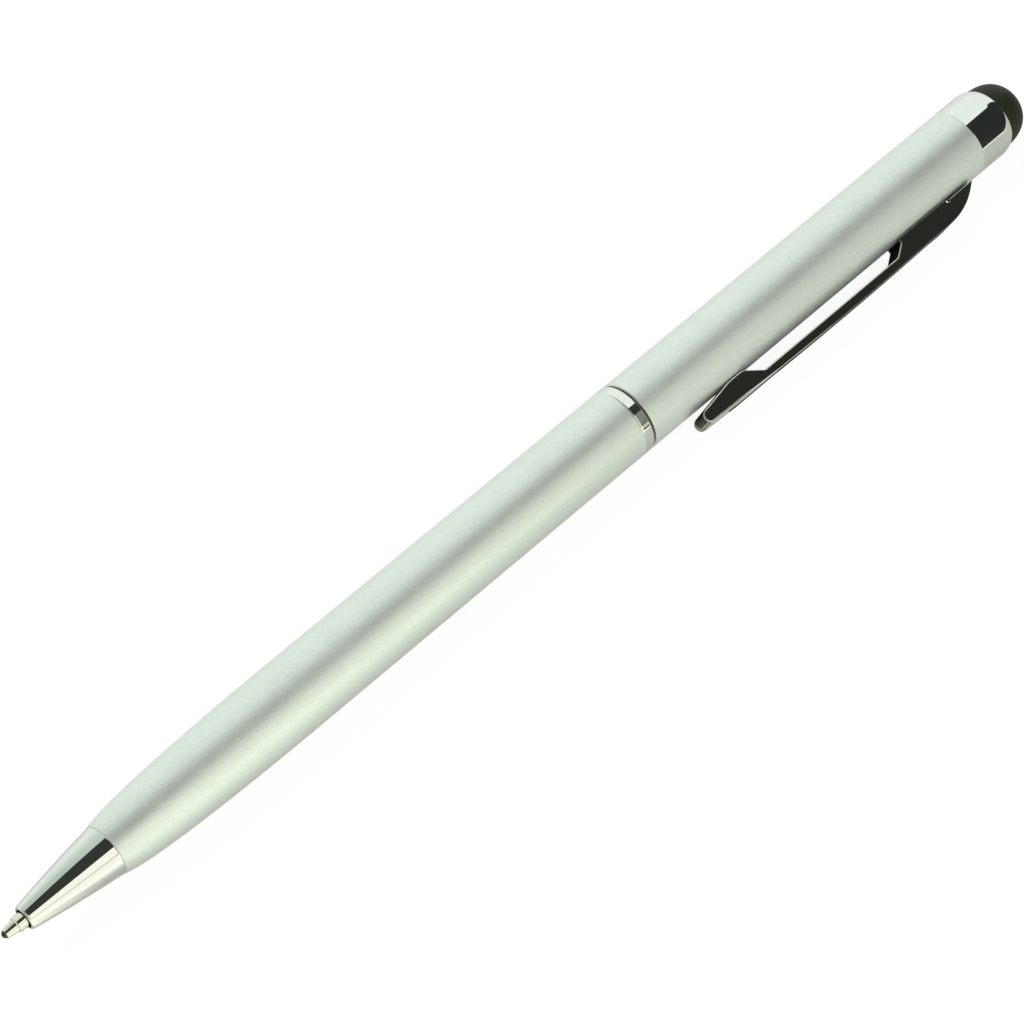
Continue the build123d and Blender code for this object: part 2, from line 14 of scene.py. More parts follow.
import bpy
import numpy as np
from mathutils import Matrix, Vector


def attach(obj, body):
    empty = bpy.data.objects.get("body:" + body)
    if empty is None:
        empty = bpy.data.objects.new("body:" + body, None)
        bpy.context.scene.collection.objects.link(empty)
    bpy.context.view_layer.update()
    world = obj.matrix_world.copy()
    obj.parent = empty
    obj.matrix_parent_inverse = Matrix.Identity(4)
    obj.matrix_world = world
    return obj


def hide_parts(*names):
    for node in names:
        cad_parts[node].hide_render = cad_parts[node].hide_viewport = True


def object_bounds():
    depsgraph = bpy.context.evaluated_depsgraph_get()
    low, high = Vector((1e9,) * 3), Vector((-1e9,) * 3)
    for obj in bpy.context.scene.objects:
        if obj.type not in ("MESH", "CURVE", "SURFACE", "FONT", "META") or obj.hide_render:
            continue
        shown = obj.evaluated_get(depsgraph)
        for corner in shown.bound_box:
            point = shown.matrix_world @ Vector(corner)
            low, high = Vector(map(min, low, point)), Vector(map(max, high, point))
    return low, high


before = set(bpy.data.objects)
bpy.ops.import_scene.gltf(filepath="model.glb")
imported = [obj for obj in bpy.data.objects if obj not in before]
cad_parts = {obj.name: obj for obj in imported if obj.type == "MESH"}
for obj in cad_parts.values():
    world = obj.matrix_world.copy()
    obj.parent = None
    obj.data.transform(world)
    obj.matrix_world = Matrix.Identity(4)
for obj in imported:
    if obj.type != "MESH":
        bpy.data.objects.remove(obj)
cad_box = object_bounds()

LOG = logging.getLogger("twist_pen")

MM = 0.001
# Vertices round a turned piece, and steps round a softened corner
AROUND = 288
ROUND_STEPS = 6
# How far past a softened corner its support points lie, in millimetres
SUPPORT = 0.02
# Folds sharper than this are shaded as edges
SHARP_ANGLE = math.radians(50)
# Attribute of the clip's mesh that marks the inner face of its channel and how near it lies to the walls'
# cut edges, where painted shade darkens it
INSIDE = "inside"
WHITE = (1.0, 1.0, 1.0, 1.0)
# Most of a noise texture's values lie between these two
NOISE_LOW, NOISE_HIGH = 0.3, 0.7

Points = np.ndarray
Faces = list[list[int]]
Colour = tuple[float, float, float, float]
Outline = tuple[tuple[float, float], ...]


class Body(Enum):
    """The rigid bodies that pieces ride on."""

    LOWER = "lower_half"
    UPPER = "upper_half"
    CLIP = "clip"
    REFILL = "refill"
    BALL = "ball"


class Slot(Enum):
    """The record's material slots."""

    LACQUER = "barrel_lacquer"
    CHROME = "chrome_plate"
    CLIP_CHROME = "clip_chrome"
    RUBBER = "black_rubber"
    BRASS = "brass"
    ACETAL = "white_acetal"
    BLACK_PLASTIC = "black_plastic"
    STEEL = "steel"
    NICKEL_SILVER = "nickel_silver"
    CARBIDE = "carbide"
    INK = "ink"


class Side(Enum):
    """The two faces of the clip's sheet, by which way the round at the cut edge goes."""

    OUTER = 1
    INNER = -1


class Axis(Enum):
    """The axes of the frame, by their place in a point."""

    X = 0
    Y = 1
    Z = 2


def linear(code: str) -> Colour:
    """Turns an sRGB hex colour into the linear colour that a shader socket takes.

    Args:
        code: Six hex digits, red first.

    Returns:
        Linear red, green and blue, and an alpha of one.
    """
    shown = np.array([int(code[i : i + 2], 16) for i in (0, 2, 4)]) / 255
    light = np.where(shown <= 0.04045, shown / 12.92, ((shown + 0.055) / 1.055) ** 2.4)
    return (*light.tolist(), 1.0)


def per_metre(size_mm: float) -> float:
    """Gives the texture scale at which one pattern step is this many millimetres."""
    return 1 / (size_mm * MM)


def add_node(
    tree: bpy.types.NodeTree,
    kind: str,
    inputs: Mapping[str | int, Any] | None = None,
    **settings: Any,
) -> bpy.types.Node:
    """Adds one node with its settings, and fills or links its inputs.

    A mix node's sockets share their names, so they go by number: input 0 is the second one's share,
    inputs 2 and 3 are values for output 0, and inputs 6 and 7 are colours for output 2.

    Args:
        tree: The node tree that takes the node.
        kind: The node's type name.
        inputs: A value, or an output socket to link, for each input by name or index.
        **settings: The node's own properties.

    Returns:
        The new node.
    """
    node = tree.nodes.new(kind)
    for key, value in settings.items():
        setattr(node, key, value)
    for key, value in (inputs or {}).items():
        if isinstance(value, bpy.types.NodeSocket):
            tree.links.new(value, node.inputs[key])
        else:
            node.inputs[key].default_value = value
    return node


def empty_tree(owner: bpy.types.Material | bpy.types.World) -> bpy.types.NodeTree:
    """Turns on the nodes of a material or a world and clears them.

    Args:
        owner: The material or the world.

    Returns:
        Its node tree, with no node in it.
    """
    owner.use_nodes = True
    owner.node_tree.nodes.clear()
    return owner.node_tree


def unit(vectors: Points) -> Points:
    """Scales each row of an array of vectors to length one."""
    return vectors / np.linalg.norm(vectors, axis=-1, keepdims=True)


def bezier(
    start: Sequence[float], lead: Sequence[float], trail: Sequence[float], end: Sequence[float], count: int
) -> Points:
    """Samples a cubic Bezier curve: the four points weighted by the cubic Bernstein polynomials.

    Args:
        start: First point.
        lead: Handle of the first point.
        trail: Handle of the last point.
        end: Last point.
        count: Number of samples, both ends included.

    Returns:
        An array of count points.
    """
    t = np.linspace(0, 1, count)[:, None]
    weights = np.hstack([(1 - t) ** 3, 3 * t * (1 - t) ** 2, 3 * t**2 * (1 - t), t**3])
    return weights @ np.array([start, lead, trail, end], float)


def softened(corners: Sequence[Sequence[float]], sizes: Sequence[float]) -> Points:
    """Rounds the corners of a path, taken as closed.

    Each corner with a size becomes a quadratic curve that starts that far before the corner and ends
    that far after it, with one support point just outside each end, so that shading stays flat on the
    runs between corners. A corner of size zero stays one point.

    Args:
        corners: The path's corner points in order.
        sizes: How far each corner is cut back along its two runs.

    Returns:
        The points of the rounded path in order.
    """
    points = np.asarray(corners, float)
    cut = np.asarray(sizes, float)[:, None]
    arriving = unit(points - np.roll(points, 1, axis=0))
    leaving = unit(np.roll(points, -1, axis=0) - points)
    start, finish = points - arriving * cut, points + leaving * cut
    t = np.linspace(0, 1, ROUND_STEPS + 1)[None, :, None]
    curve = (1 - t) ** 2 * start[:, None] + 2 * t * (1 - t) * points[:, None] + t**2 * finish[:, None]
    before = (start - arriving * SUPPORT)[:, None]
    after = (finish + leaving * SUPPORT)[:, None]
    block = np.concatenate([before, curve, after], axis=1)
    keep = np.broadcast_to(cut > 0, block.shape[:2]).copy()
    keep[:, 1] = True
    return block[keep]


def ring_quads(rows: np.ndarray, columns: np.ndarray, across: int) -> np.ndarray:
    """Lists the quads of a grid, which may close on itself in either direction.

    Args:
        rows: Index of each row, with the first one again at the end if the rows close.
        columns: Index of each column, with the first one again at the end if the columns close.
        across: Number of columns that the grid stores.

    Returns:
        An array with the four vertex indices of each quad.
    """
    low, high = rows[:-1, None] * across, rows[1:, None] * across
    left, right = columns[None, :-1], columns[None, 1:]
    return np.stack([low + left, low + right, high + right, high + left], axis=-1).reshape(-1, 4)


def turned(path: Points, poles: bool = False) -> tuple[Points, Faces]:
    """Carries a profile round the pen's axis: (x, r) goes to (x, r cos a, r sin a) for every angle a.

    Args:
        path: Profile points as x and radius. A closed loop, or, with poles, a run from axis to axis.
        poles: Whether the first and last points lie on the axis and become one vertex each.

    Returns:
        The vertices in millimetres and the faces.
    """
    rings = path[1:-1] if poles else path
    angle = np.arange(AROUND) * (2 * math.pi / AROUND)
    x, radius = rings[:, :1], rings[:, 1:]
    grid = np.stack([x + 0 * angle, radius * np.cos(angle), radius * np.sin(angle)], axis=-1)
    vertices = grid.reshape(-1, 3)
    rows = np.arange(len(rings))
    columns = np.append(np.arange(AROUND), 0)
    if not poles:
        return vertices, ring_quads(np.append(rows, 0), columns, AROUND).tolist()
    ends = np.array([[path[0, 0], 0, 0], [path[-1, 0], 0, 0]])
    first, last = len(vertices), len(vertices) + 1
    rear = rows[-1] * AROUND
    caps = np.concatenate(
        [
            np.stack([np.full(AROUND, first), columns[1:], columns[:-1]], axis=-1),
            np.stack([np.full(AROUND, last), rear + columns[:-1], rear + columns[1:]], axis=-1),
        ]
    )
    return np.vstack([vertices, ends]), ring_quads(rows, columns, AROUND).tolist() + caps.tolist()


def new_piece(name: str, vertices: Points, faces: Faces) -> bpy.types.Object:
    """Writes a closed surface to a mesh whose faces point outwards, and links its object.

    The sign of the enclosed volume, the sum of the mesh's triangles' triple products, tells whether
    the faces point in or out, and all are turned round if they point in.

    Args:
        name: The piece's name.
        vertices: Points in millimetres.
        faces: Vertex indices of each face.

    Returns:
        The new object, at the origin.
    """
    mesh = bpy.data.meshes.new(name)
    mesh.from_pydata((vertices * MM).tolist(), [], faces)
    mesh.calc_loop_triangles()
    corners = np.empty(3 * len(mesh.loop_triangles), np.int32)
    mesh.loop_triangles.foreach_get("vertices", corners)
    a, b, c = np.moveaxis(vertices[corners.reshape(-1, 3)], 1, 0)
    if np.einsum("ij,ij->", a, np.cross(b, c)) < 0:
        mesh.flip_normals()
    mesh.shade_smooth()
    mesh.set_sharp_from_angle(angle=SHARP_ANGLE)
    mesh.update()
    piece = bpy.data.objects.new(name, mesh)
    bpy.context.scene.collection.objects.link(piece)
    return piece


@dataclass(frozen=True)
class Finish:
    """What a surface is made of and how it was made. Each kind gives its own shader inputs."""

    label: str

    def sockets(self, tree: bpy.types.NodeTree, place: bpy.types.NodeSocket) -> dict[str, Any]:
        """Gives the shader's inputs.

        Args:
            tree: The material's node tree, which takes the pattern nodes.
            place: Object coordinates.

        Returns:
            A value or an output socket for each input of the shader that the finish sets.
        """
        raise NotImplementedError

    def material(self) -> bpy.types.Material:
        """Makes the material.

        Returns:
            A material with the finish's pattern nodes and one shader.
        """
        made = bpy.data.materials.new(self.label)
        tree = empty_tree(made)
        place = add_node(tree, "ShaderNodeTexCoord").outputs["Object"]
        shader = add_node(tree, "ShaderNodeBsdfPrincipled", self.sockets(tree, place))
        add_node(tree, "ShaderNodeOutputMaterial", {"Surface": shader.outputs["BSDF"]})
        return made


@dataclass(frozen=True)
class PearlLacquer(Finish):
    """Silver pearl lacquer sprayed on brass tube: fine metal flake under a satin clear coat."""

    flake_dark: str = "E0E7E2"
    flake_light: str = "F2F8F4"
    flake_mm: float = 0.1
    cloud_mm: float = 3.0
    peel_mm: float = 0.5
    peel_depth_mm: float = 0.0006
    metallic: float = 0.8
    gloss: tuple[float, float] = (0.44, 0.5)

    def sockets(self, tree: bpy.types.NodeTree, place: bpy.types.NodeSocket) -> dict[str, Any]:
        """Gives flake speckle to the colour, slow cloudiness to the gloss and orange peel to the relief.

        Args:
            tree: The material's node tree.
            place: Object coordinates.

        Returns:
            The shader's inputs.
        """
        # Real flakes are about 0.03 mm, too fine for a pixel, so they are drawn in clusters
        patterns = ((self.flake_mm, 1.0, 0.6), (self.cloud_mm, 2.0, 0.5), (self.peel_mm, 1.0, 0.5))
        flakes, cloud, peel = (
            add_node(
                tree, "ShaderNodeTexNoise",
                {"Vector": place, "Scale": per_metre(size), "Detail": detail, "Roughness": rough},
            ).outputs["Fac"]
            for size, detail, rough in patterns
        )
        speckle = add_node(
            tree, "ShaderNodeMapRange", {"Value": flakes, "From Min": NOISE_LOW, "From Max": NOISE_HIGH}
        ).outputs["Result"]
        colour = add_node(
            tree, "ShaderNodeMix", {0: speckle, 6: linear(self.flake_dark), 7: linear(self.flake_light)},
            data_type="RGBA",
        ).outputs[2]
        gloss = add_node(
            tree, "ShaderNodeMapRange",
            {
                "Value": cloud, "From Min": NOISE_LOW, "From Max": NOISE_HIGH,
                "To Min": self.gloss[0], "To Max": self.gloss[1],
            },
        ).outputs["Result"]
        relief = add_node(
            tree, "ShaderNodeBump", {"Height": peel, "Strength": 1.0, "Distance": self.peel_depth_mm * MM}
        ).outputs["Normal"]
        return {"Base Color": colour, "Metallic": self.metallic, "Roughness": gloss, "Normal": relief}


@dataclass(frozen=True)
class PolishedChrome(Finish):
    """Chromium plated on polished nickel: a clear mirror with faint handling haze and polishing lines."""

    tint: str = "F2F3F2"
    haze_tint: str = "E9EBE9"
    haze_mm: float = 2.2
    haze_low: float = 0.35
    line_mm: float = 0.12
    line_depth_mm: float = 0.00002
    gloss: tuple[float, float] = (0.03, 0.075)

    def sockets(self, tree: bpy.types.NodeTree, place: bpy.types.NodeSocket) -> dict[str, Any]:
        """Gives haze patches to the colour and gloss, and polishing lines round the axis to the relief.

        Args:
            tree: The material's node tree.
            place: Object coordinates.

        Returns:
            The shader's inputs.
        """
        haze = add_node(
            tree, "ShaderNodeTexNoise",
            {"Vector": place, "Scale": per_metre(self.haze_mm), "Detail": 3.0, "Roughness": 0.6},
        ).outputs["Fac"]
        colour = add_node(
            tree, "ShaderNodeMix", {0: haze, 6: linear(self.tint), 7: linear(self.haze_tint)},
            data_type="RGBA",
        ).outputs[2]
        gloss = add_node(
            tree, "ShaderNodeMapRange",
            {
                "Value": haze, "From Min": self.haze_low, "From Max": NOISE_HIGH,
                "To Min": self.gloss[0], "To Max": self.gloss[1],
            },
        ).outputs["Result"]
        along = add_node(tree, "ShaderNodeSeparateXYZ", {"Vector": place}).outputs["X"]
        # Polishing lines are a few microns apart, so they are drawn far coarser and almost flat
        lines = add_node(
            tree, "ShaderNodeTexNoise",
            {"W": along, "Scale": per_metre(self.line_mm), "Detail": 2.0}, noise_dimensions="1D",
        ).outputs["Fac"]
        relief = add_node(
            tree, "ShaderNodeBump", {"Height": lines, "Strength": 1.0, "Distance": self.line_depth_mm * MM}
        ).outputs["Normal"]
        return {"Base Color": colour, "Metallic": 1.0, "Roughness": gloss, "Normal": relief}


@dataclass(frozen=True)
class PlatedSheet(PolishedChrome):
    """Chrome plate on a bent sheet: bright outside, matt inside, where hardly any plating reaches, with
    painted shade that darkens the inner face towards the walls' cut edges.
    """

    # Painted shade: the inner face darkens to this tone at the walls' cut edges and pales to the plating's
    # own tone at the spine
    painted_shade_edge: str = "4A4B42"
    dull_tint: str = "E2E3DA"
    dull_gloss: float = 0.5

    def sockets(self, tree: bpy.types.NodeTree, place: bpy.types.NodeSocket) -> dict[str, Any]:
        """Gives the outside's mirror, and the inside's matt plating with painted shade towards the walls'
        cut edges, told apart by the mesh's own attribute.

        Args:
            tree: The material's node tree.
            place: Object coordinates.

        Returns:
            The shader's inputs.
        """
        inputs = super().sockets(tree, place)
        mark = add_node(tree, "ShaderNodeAttribute", attribute_name=INSIDE).outputs["Fac"]
        inside, depth = (
            add_node(
                tree, "ShaderNodeMapRange", {"Value": mark, "From Min": start, "From Max": start + 1.0}
            ).outputs["Result"]
            for start in (0.0, 1.0)
        )
        # The inside's own matt tone, painted darker towards the walls' cut edges as painted shade
        dull_and_shade = add_node(
            tree, "ShaderNodeMix", {0: depth, 6: linear(self.painted_shade_edge), 7: linear(self.dull_tint)},
            data_type="RGBA",
        ).outputs[2]
        colour = add_node(
            tree, "ShaderNodeMix", {0: inside, 6: inputs["Base Color"], 7: dull_and_shade}, data_type="RGBA"
        ).outputs[2]
        gloss = add_node(
            tree, "ShaderNodeMix", {0: inside, 2: inputs["Roughness"], 3: self.dull_gloss},
            data_type="FLOAT",
        ).outputs[0]
        return inputs | {"Base Color": colour, "Roughness": gloss}


@dataclass(frozen=True)
class Speckled(Finish):
    """A material of one tone broken by a fine grain and by slow patches."""

    dark: str
    light: str
    grain_mm: float
    patch_mm: float
    gloss: tuple[float, float]
    relief_mm: float
    metallic: float = 0.0
    shine: float = 0.5
    sheen: float = 0.0
    sheen_tint: str = "FFFFFF"
    sheen_spread: float = 0.4
    stretch: tuple[float, float, float] = (1.0, 1.0, 1.0)

    def sockets(self, tree: bpy.types.NodeTree, place: bpy.types.NodeSocket) -> dict[str, Any]:
        """Gives the grain to colour and relief, and the patches to gloss.

        Args:
            tree: The material's node tree.
            place: Object coordinates.

        Returns:
            The shader's inputs.
        """
        drawn = add_node(
            tree, "ShaderNodeMapping", {"Vector": place, "Scale": self.stretch}
        ).outputs["Vector"]
        grain, patch = (
            add_node(
                tree, "ShaderNodeTexNoise",
                {"Vector": drawn, "Scale": per_metre(size), "Detail": 2.0, "Roughness": rough},
            ).outputs["Fac"]
            for size, rough in ((self.grain_mm, 0.55), (self.patch_mm, 0.5))
        )
        tone = add_node(
            tree, "ShaderNodeMapRange", {"Value": grain, "From Min": NOISE_LOW, "From Max": NOISE_HIGH}
        ).outputs["Result"]
        colour = add_node(
            tree, "ShaderNodeMix", {0: tone, 6: linear(self.dark), 7: linear(self.light)}, data_type="RGBA"
        ).outputs[2]
        gloss = add_node(
            tree, "ShaderNodeMapRange",
            {
                "Value": patch, "From Min": NOISE_LOW, "From Max": NOISE_HIGH,
                "To Min": self.gloss[0], "To Max": self.gloss[1],
            },
        ).outputs["Result"]
        relief = add_node(
            tree, "ShaderNodeBump", {"Height": grain, "Strength": 1.0, "Distance": self.relief_mm * MM}
        ).outputs["Normal"]
        inputs = {"Base Color": colour, "Metallic": self.metallic, "Roughness": gloss, "Normal": relief}
        if not self.metallic:
            inputs |= {"Specular IOR Level": self.shine}
        if self.sheen:
            inputs |= {
                "Sheen Weight": self.sheen,
                "Sheen Tint": linear(self.sheen_tint),
                "Sheen Roughness": self.sheen_spread,
            }
        return inputs


class Finishes:
    """The finishes of the pen, each made once and handed out by slot."""

    def __init__(self) -> None:
        """Makes a material for every slot."""
        choice: dict[Slot, Finish] = {
            Slot.LACQUER: PearlLacquer("pearl_lacquer_on_brass"),
            Slot.CHROME: PolishedChrome("polished_chrome_plate"),
            # The clip's inner face takes painted shade towards the walls' cut edges
            Slot.CLIP_CHROME: PlatedSheet(
                "chrome_plate_on_spring_steel", tint="E9EBE9", haze_tint="DEE1DE", gloss=(0.05, 0.1)
            ),
            # Silicone rubber filled with carbon black, moulded: matt, with a faint bloom
            Slot.RUBBER: Speckled(
                "moulded_conductive_rubber", dark="1A1C14", light="23251A", grain_mm=0.1, patch_mm=1.5,
                gloss=(0.5, 0.62), relief_mm=0.002, shine=0.26, sheen=0.045, sheen_tint="C9CDB4",
            ),
            # Drawn brass: lines along the tube, tarnished in patches
            Slot.BRASS: Speckled(
                "drawn_brass", dark="B08A45", light="D2AE69", grain_mm=0.08, patch_mm=2.0,
                gloss=(0.22, 0.36), relief_mm=0.0006, metallic=1.0, stretch=(0.08, 1.0, 1.0),
            ),
            # Moulded acetal: waxy white with a soft gloss
            Slot.ACETAL: Speckled(
                "moulded_acetal", dark="DEDDD4", light="EBEAE3", grain_mm=0.3, patch_mm=2.5,
                gloss=(0.32, 0.45), relief_mm=0.0008,
            ),
            # Moulded black nylon with a fine spark-eroded grain
            Slot.BLACK_PLASTIC: Speckled(
                "moulded_black_nylon", dark="141416", light="232326", grain_mm=0.12, patch_mm=2.0,
                gloss=(0.4, 0.55), relief_mm=0.0015,
            ),
            # Hardened and tempered spring steel with rolling lines
            Slot.STEEL: Speckled(
                "tempered_spring_steel", dark="8E9092", light="B5B7B8", grain_mm=0.06, patch_mm=1.2,
                gloss=(0.25, 0.38), relief_mm=0.0006, metallic=1.0, stretch=(1.0, 0.1, 0.1),
            ),
            # Nickel silver, turned: fine tool marks round the axis
            Slot.NICKEL_SILVER: Speckled(
                "turned_nickel_silver", dark="E6E3D6", light="F6F4EA", grain_mm=0.05, patch_mm=0.8,
                gloss=(0.06, 0.12), relief_mm=0.0001, metallic=1.0, stretch=(1.0, 0.04, 0.04),
            ),
            # Tungsten carbide, ground and lapped: dark grey, nearly a mirror
            Slot.CARBIDE: Speckled(
                "lapped_carbide", dark="4A423E", light="645A54", grain_mm=0.04, patch_mm=0.3,
                gloss=(0.06, 0.12), relief_mm=0.0002, metallic=1.0,
            ),
            # Ball pen paste: thick, glossy and almost black
            Slot.INK: Speckled(
                "ball_pen_paste", dark="0B0D22", light="141733", grain_mm=0.4, patch_mm=2.0,
                gloss=(0.08, 0.18), relief_mm=0.002,
            ),
        }
        self.made = {slot: finish.material() for slot, finish in choice.items()}

    def dress(self, piece: bpy.types.Object, slot: Slot) -> None:
        """Puts a slot's material on every face of a piece."""
        piece.data.materials.clear()
        piece.data.materials.append(self.made[slot])


@dataclass
class SubAssembly:
    """Pieces that are built and dressed together."""

    finishes: Finishes

    def fit(self, piece: bpy.types.Object, body: Body, slot: Slot, node: str) -> None:
        """Makes a new piece stand for a solid, ride on its body and take the slot's finish.

        Args:
            piece: The new piece.
            body: The rigid body it moves with.
            slot: The record's material slot.
            node: The solid that it stands for.
        """
        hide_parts(node)
        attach(piece, body.value)
        self.finishes.dress(piece, slot)
        LOG.info("%s stands for %s with %d faces", piece.name, node, len(piece.data.polygons))

    def build(self) -> None:
        """Builds and dresses the sub-assembly's pieces."""
        raise NotImplementedError


@dataclass
class PenHalf(SubAssembly):
    """One half of the pen, with the tube sizes that both halves have."""

    barrel_radius: float = 3.75
    barrel_bore: float = 3.35


@dataclass
class LowerHalf(PenHalf):
    """Nose, lower barrel and twist band."""

    # Barrel: a straight tube with a Bezier taper to its seam with the nose
    seam_x: float = -44.86
    grip_x: float = -21.27
    band_x: float = 21.27
    seam_radius: float = 2.67
    taper_lead_share: float = 0.128
    taper_rise_share: float = 0.846
    taper_trail_share: float = 0.314
    front_bore: float = 1.99
    spigot_seat_x: float = -38.86
    bore_front_x: float = -27.27
    # Nose: a bulged cone with a spigot in the barrel, and the chamber that the point slides in
    mouth_x: float = -54.65
    mouth_radius: float = 1.238
    mouth_bore: float = 0.97
    mouth_land_x: float = -52.65
    nose_rear_radius: float = 2.64
    nose_bulge: float = 0.07
    chamber_x: float = -51.85
    chamber_radius: float = 1.218
    bore_step_x: float = -46.66
    bore_lead: float = 0.8
    nose_bore: float = 1.47
    spigot_radius: float = 1.97
    spigot_x: float = -39.86
    # Band
    band_rear_x: float = 22.46
    band_bore: float = 2.92
    band_cut: float = 0.12
    # Rounds at the edges
    rim_cut: float = 0.24
    band_edge: float = 0.06
    seam_edge: float = 0.09
    edge: float = 0.04
    # Counts of points, and how far along the nose's side the first one past the rim lies
    nose_points: int = 40
    nose_first_share: float = 0.06
    taper_points: int = 90

    def nose(self) -> bpy.types.Object:
        """Turns the nose: a cone whose side bulges by a parabola between mouth and seam.

        Returns:
            The nose.
        """
        t = np.concatenate([[0], np.linspace(self.nose_first_share, 1, self.nose_points)])
        x = self.mouth_x + (self.seam_x - self.mouth_x) * t
        cone = self.mouth_radius + (self.nose_rear_radius - self.mouth_radius) * t
        radius = cone + 4 * self.nose_bulge * t * (1 - t)
        side = np.stack([x, radius], axis=-1)
        inside = [
            (self.seam_x, self.spigot_radius),
            (self.spigot_x, self.spigot_radius),
            (self.spigot_x, self.nose_bore),
            (self.bore_step_x, self.nose_bore),
            (self.bore_step_x - self.bore_lead, self.chamber_radius),
            (self.chamber_x, self.chamber_radius),
            (self.mouth_land_x, self.mouth_bore),
            (self.mouth_x, self.mouth_bore),
        ]
        sizes = np.concatenate(
            [[self.rim_cut], np.zeros(len(side) - 2), [self.seam_edge], np.full(len(inside), self.edge)]
        )
        return new_piece("nose", *turned(softened(np.vstack([side, inside]), sizes)))

    def barrel(self) -> bpy.types.Object:
        """Turns the lower barrel: a Bezier taper at the nose, then a straight tube.

        Returns:
            The lower barrel.
        """
        length, rise = self.grip_x - self.seam_x, self.barrel_radius - self.seam_radius
        taper = bezier(
            (self.seam_x, self.seam_radius),
            (self.seam_x + self.taper_lead_share * length, self.seam_radius + self.taper_rise_share * rise),
            (self.grip_x - self.taper_trail_share * length, self.barrel_radius),
            (self.grip_x, self.barrel_radius),
            self.taper_points,
        )
        rest = [
            (self.band_x, self.barrel_radius),
            (self.band_x, self.barrel_bore),
            (self.bore_front_x, self.barrel_bore),
            (self.spigot_seat_x, self.front_bore),
            (self.seam_x, self.front_bore),
        ]
        sizes = np.concatenate(
            [[self.seam_edge], np.zeros(len(taper) - 1), [self.band_edge], np.full(len(rest) - 1, self.edge)]
        )
        return new_piece("lower_tube", *turned(softened(np.vstack([taper, rest]), sizes)))

    def band(self) -> bpy.types.Object:
        """Turns the twist band: a ring with bevelled edges.

        Returns:
            The twist band.
        """
        corners = [
            (self.band_x, self.barrel_radius - self.band_cut),
            (self.band_x + self.band_cut, self.barrel_radius),
            (self.band_rear_x - self.band_cut, self.barrel_radius),
            (self.band_rear_x, self.barrel_radius - self.band_cut),
            (self.band_rear_x, self.band_bore),
            (self.band_x, self.band_bore),
        ]
        return new_piece("twist_band", *turned(softened(corners, [self.edge] * len(corners))))

    def build(self) -> None:
        """Builds and dresses the nose, the lower barrel and the band."""
        self.fit(self.nose(), Body.LOWER, Slot.CHROME, "nose_cone")
        self.fit(self.barrel(), Body.LOWER, Slot.LACQUER, "lower_barrel")
        self.fit(self.band(), Body.LOWER, Slot.CHROME, "centre_band")


@dataclass(frozen=True)
class ClipFrame:
    """Directions of the clip: out from the pen's axis through the middle of the clip, and across it."""

    lean: float = math.radians(22.9820)

    @property
    def out(self) -> Points:
        """The direction away from the axis."""
        return np.array([0, -math.cos(self.lean), -math.sin(self.lean)])

    @property
    def across(self) -> Points:
        """The direction across the clip, downwards."""
        return np.array([0, math.sin(self.lean), -math.cos(self.lean)])

    def place(self, x: Points, reach: Points, aside: Points) -> Points:
        """Gives points that lie x along the pen, reach out from its axis and aside across the clip."""
        along = np.array([1.0, 0, 0])
        return x[..., None] * along + reach[..., None] * self.out + aside[..., None] * self.across


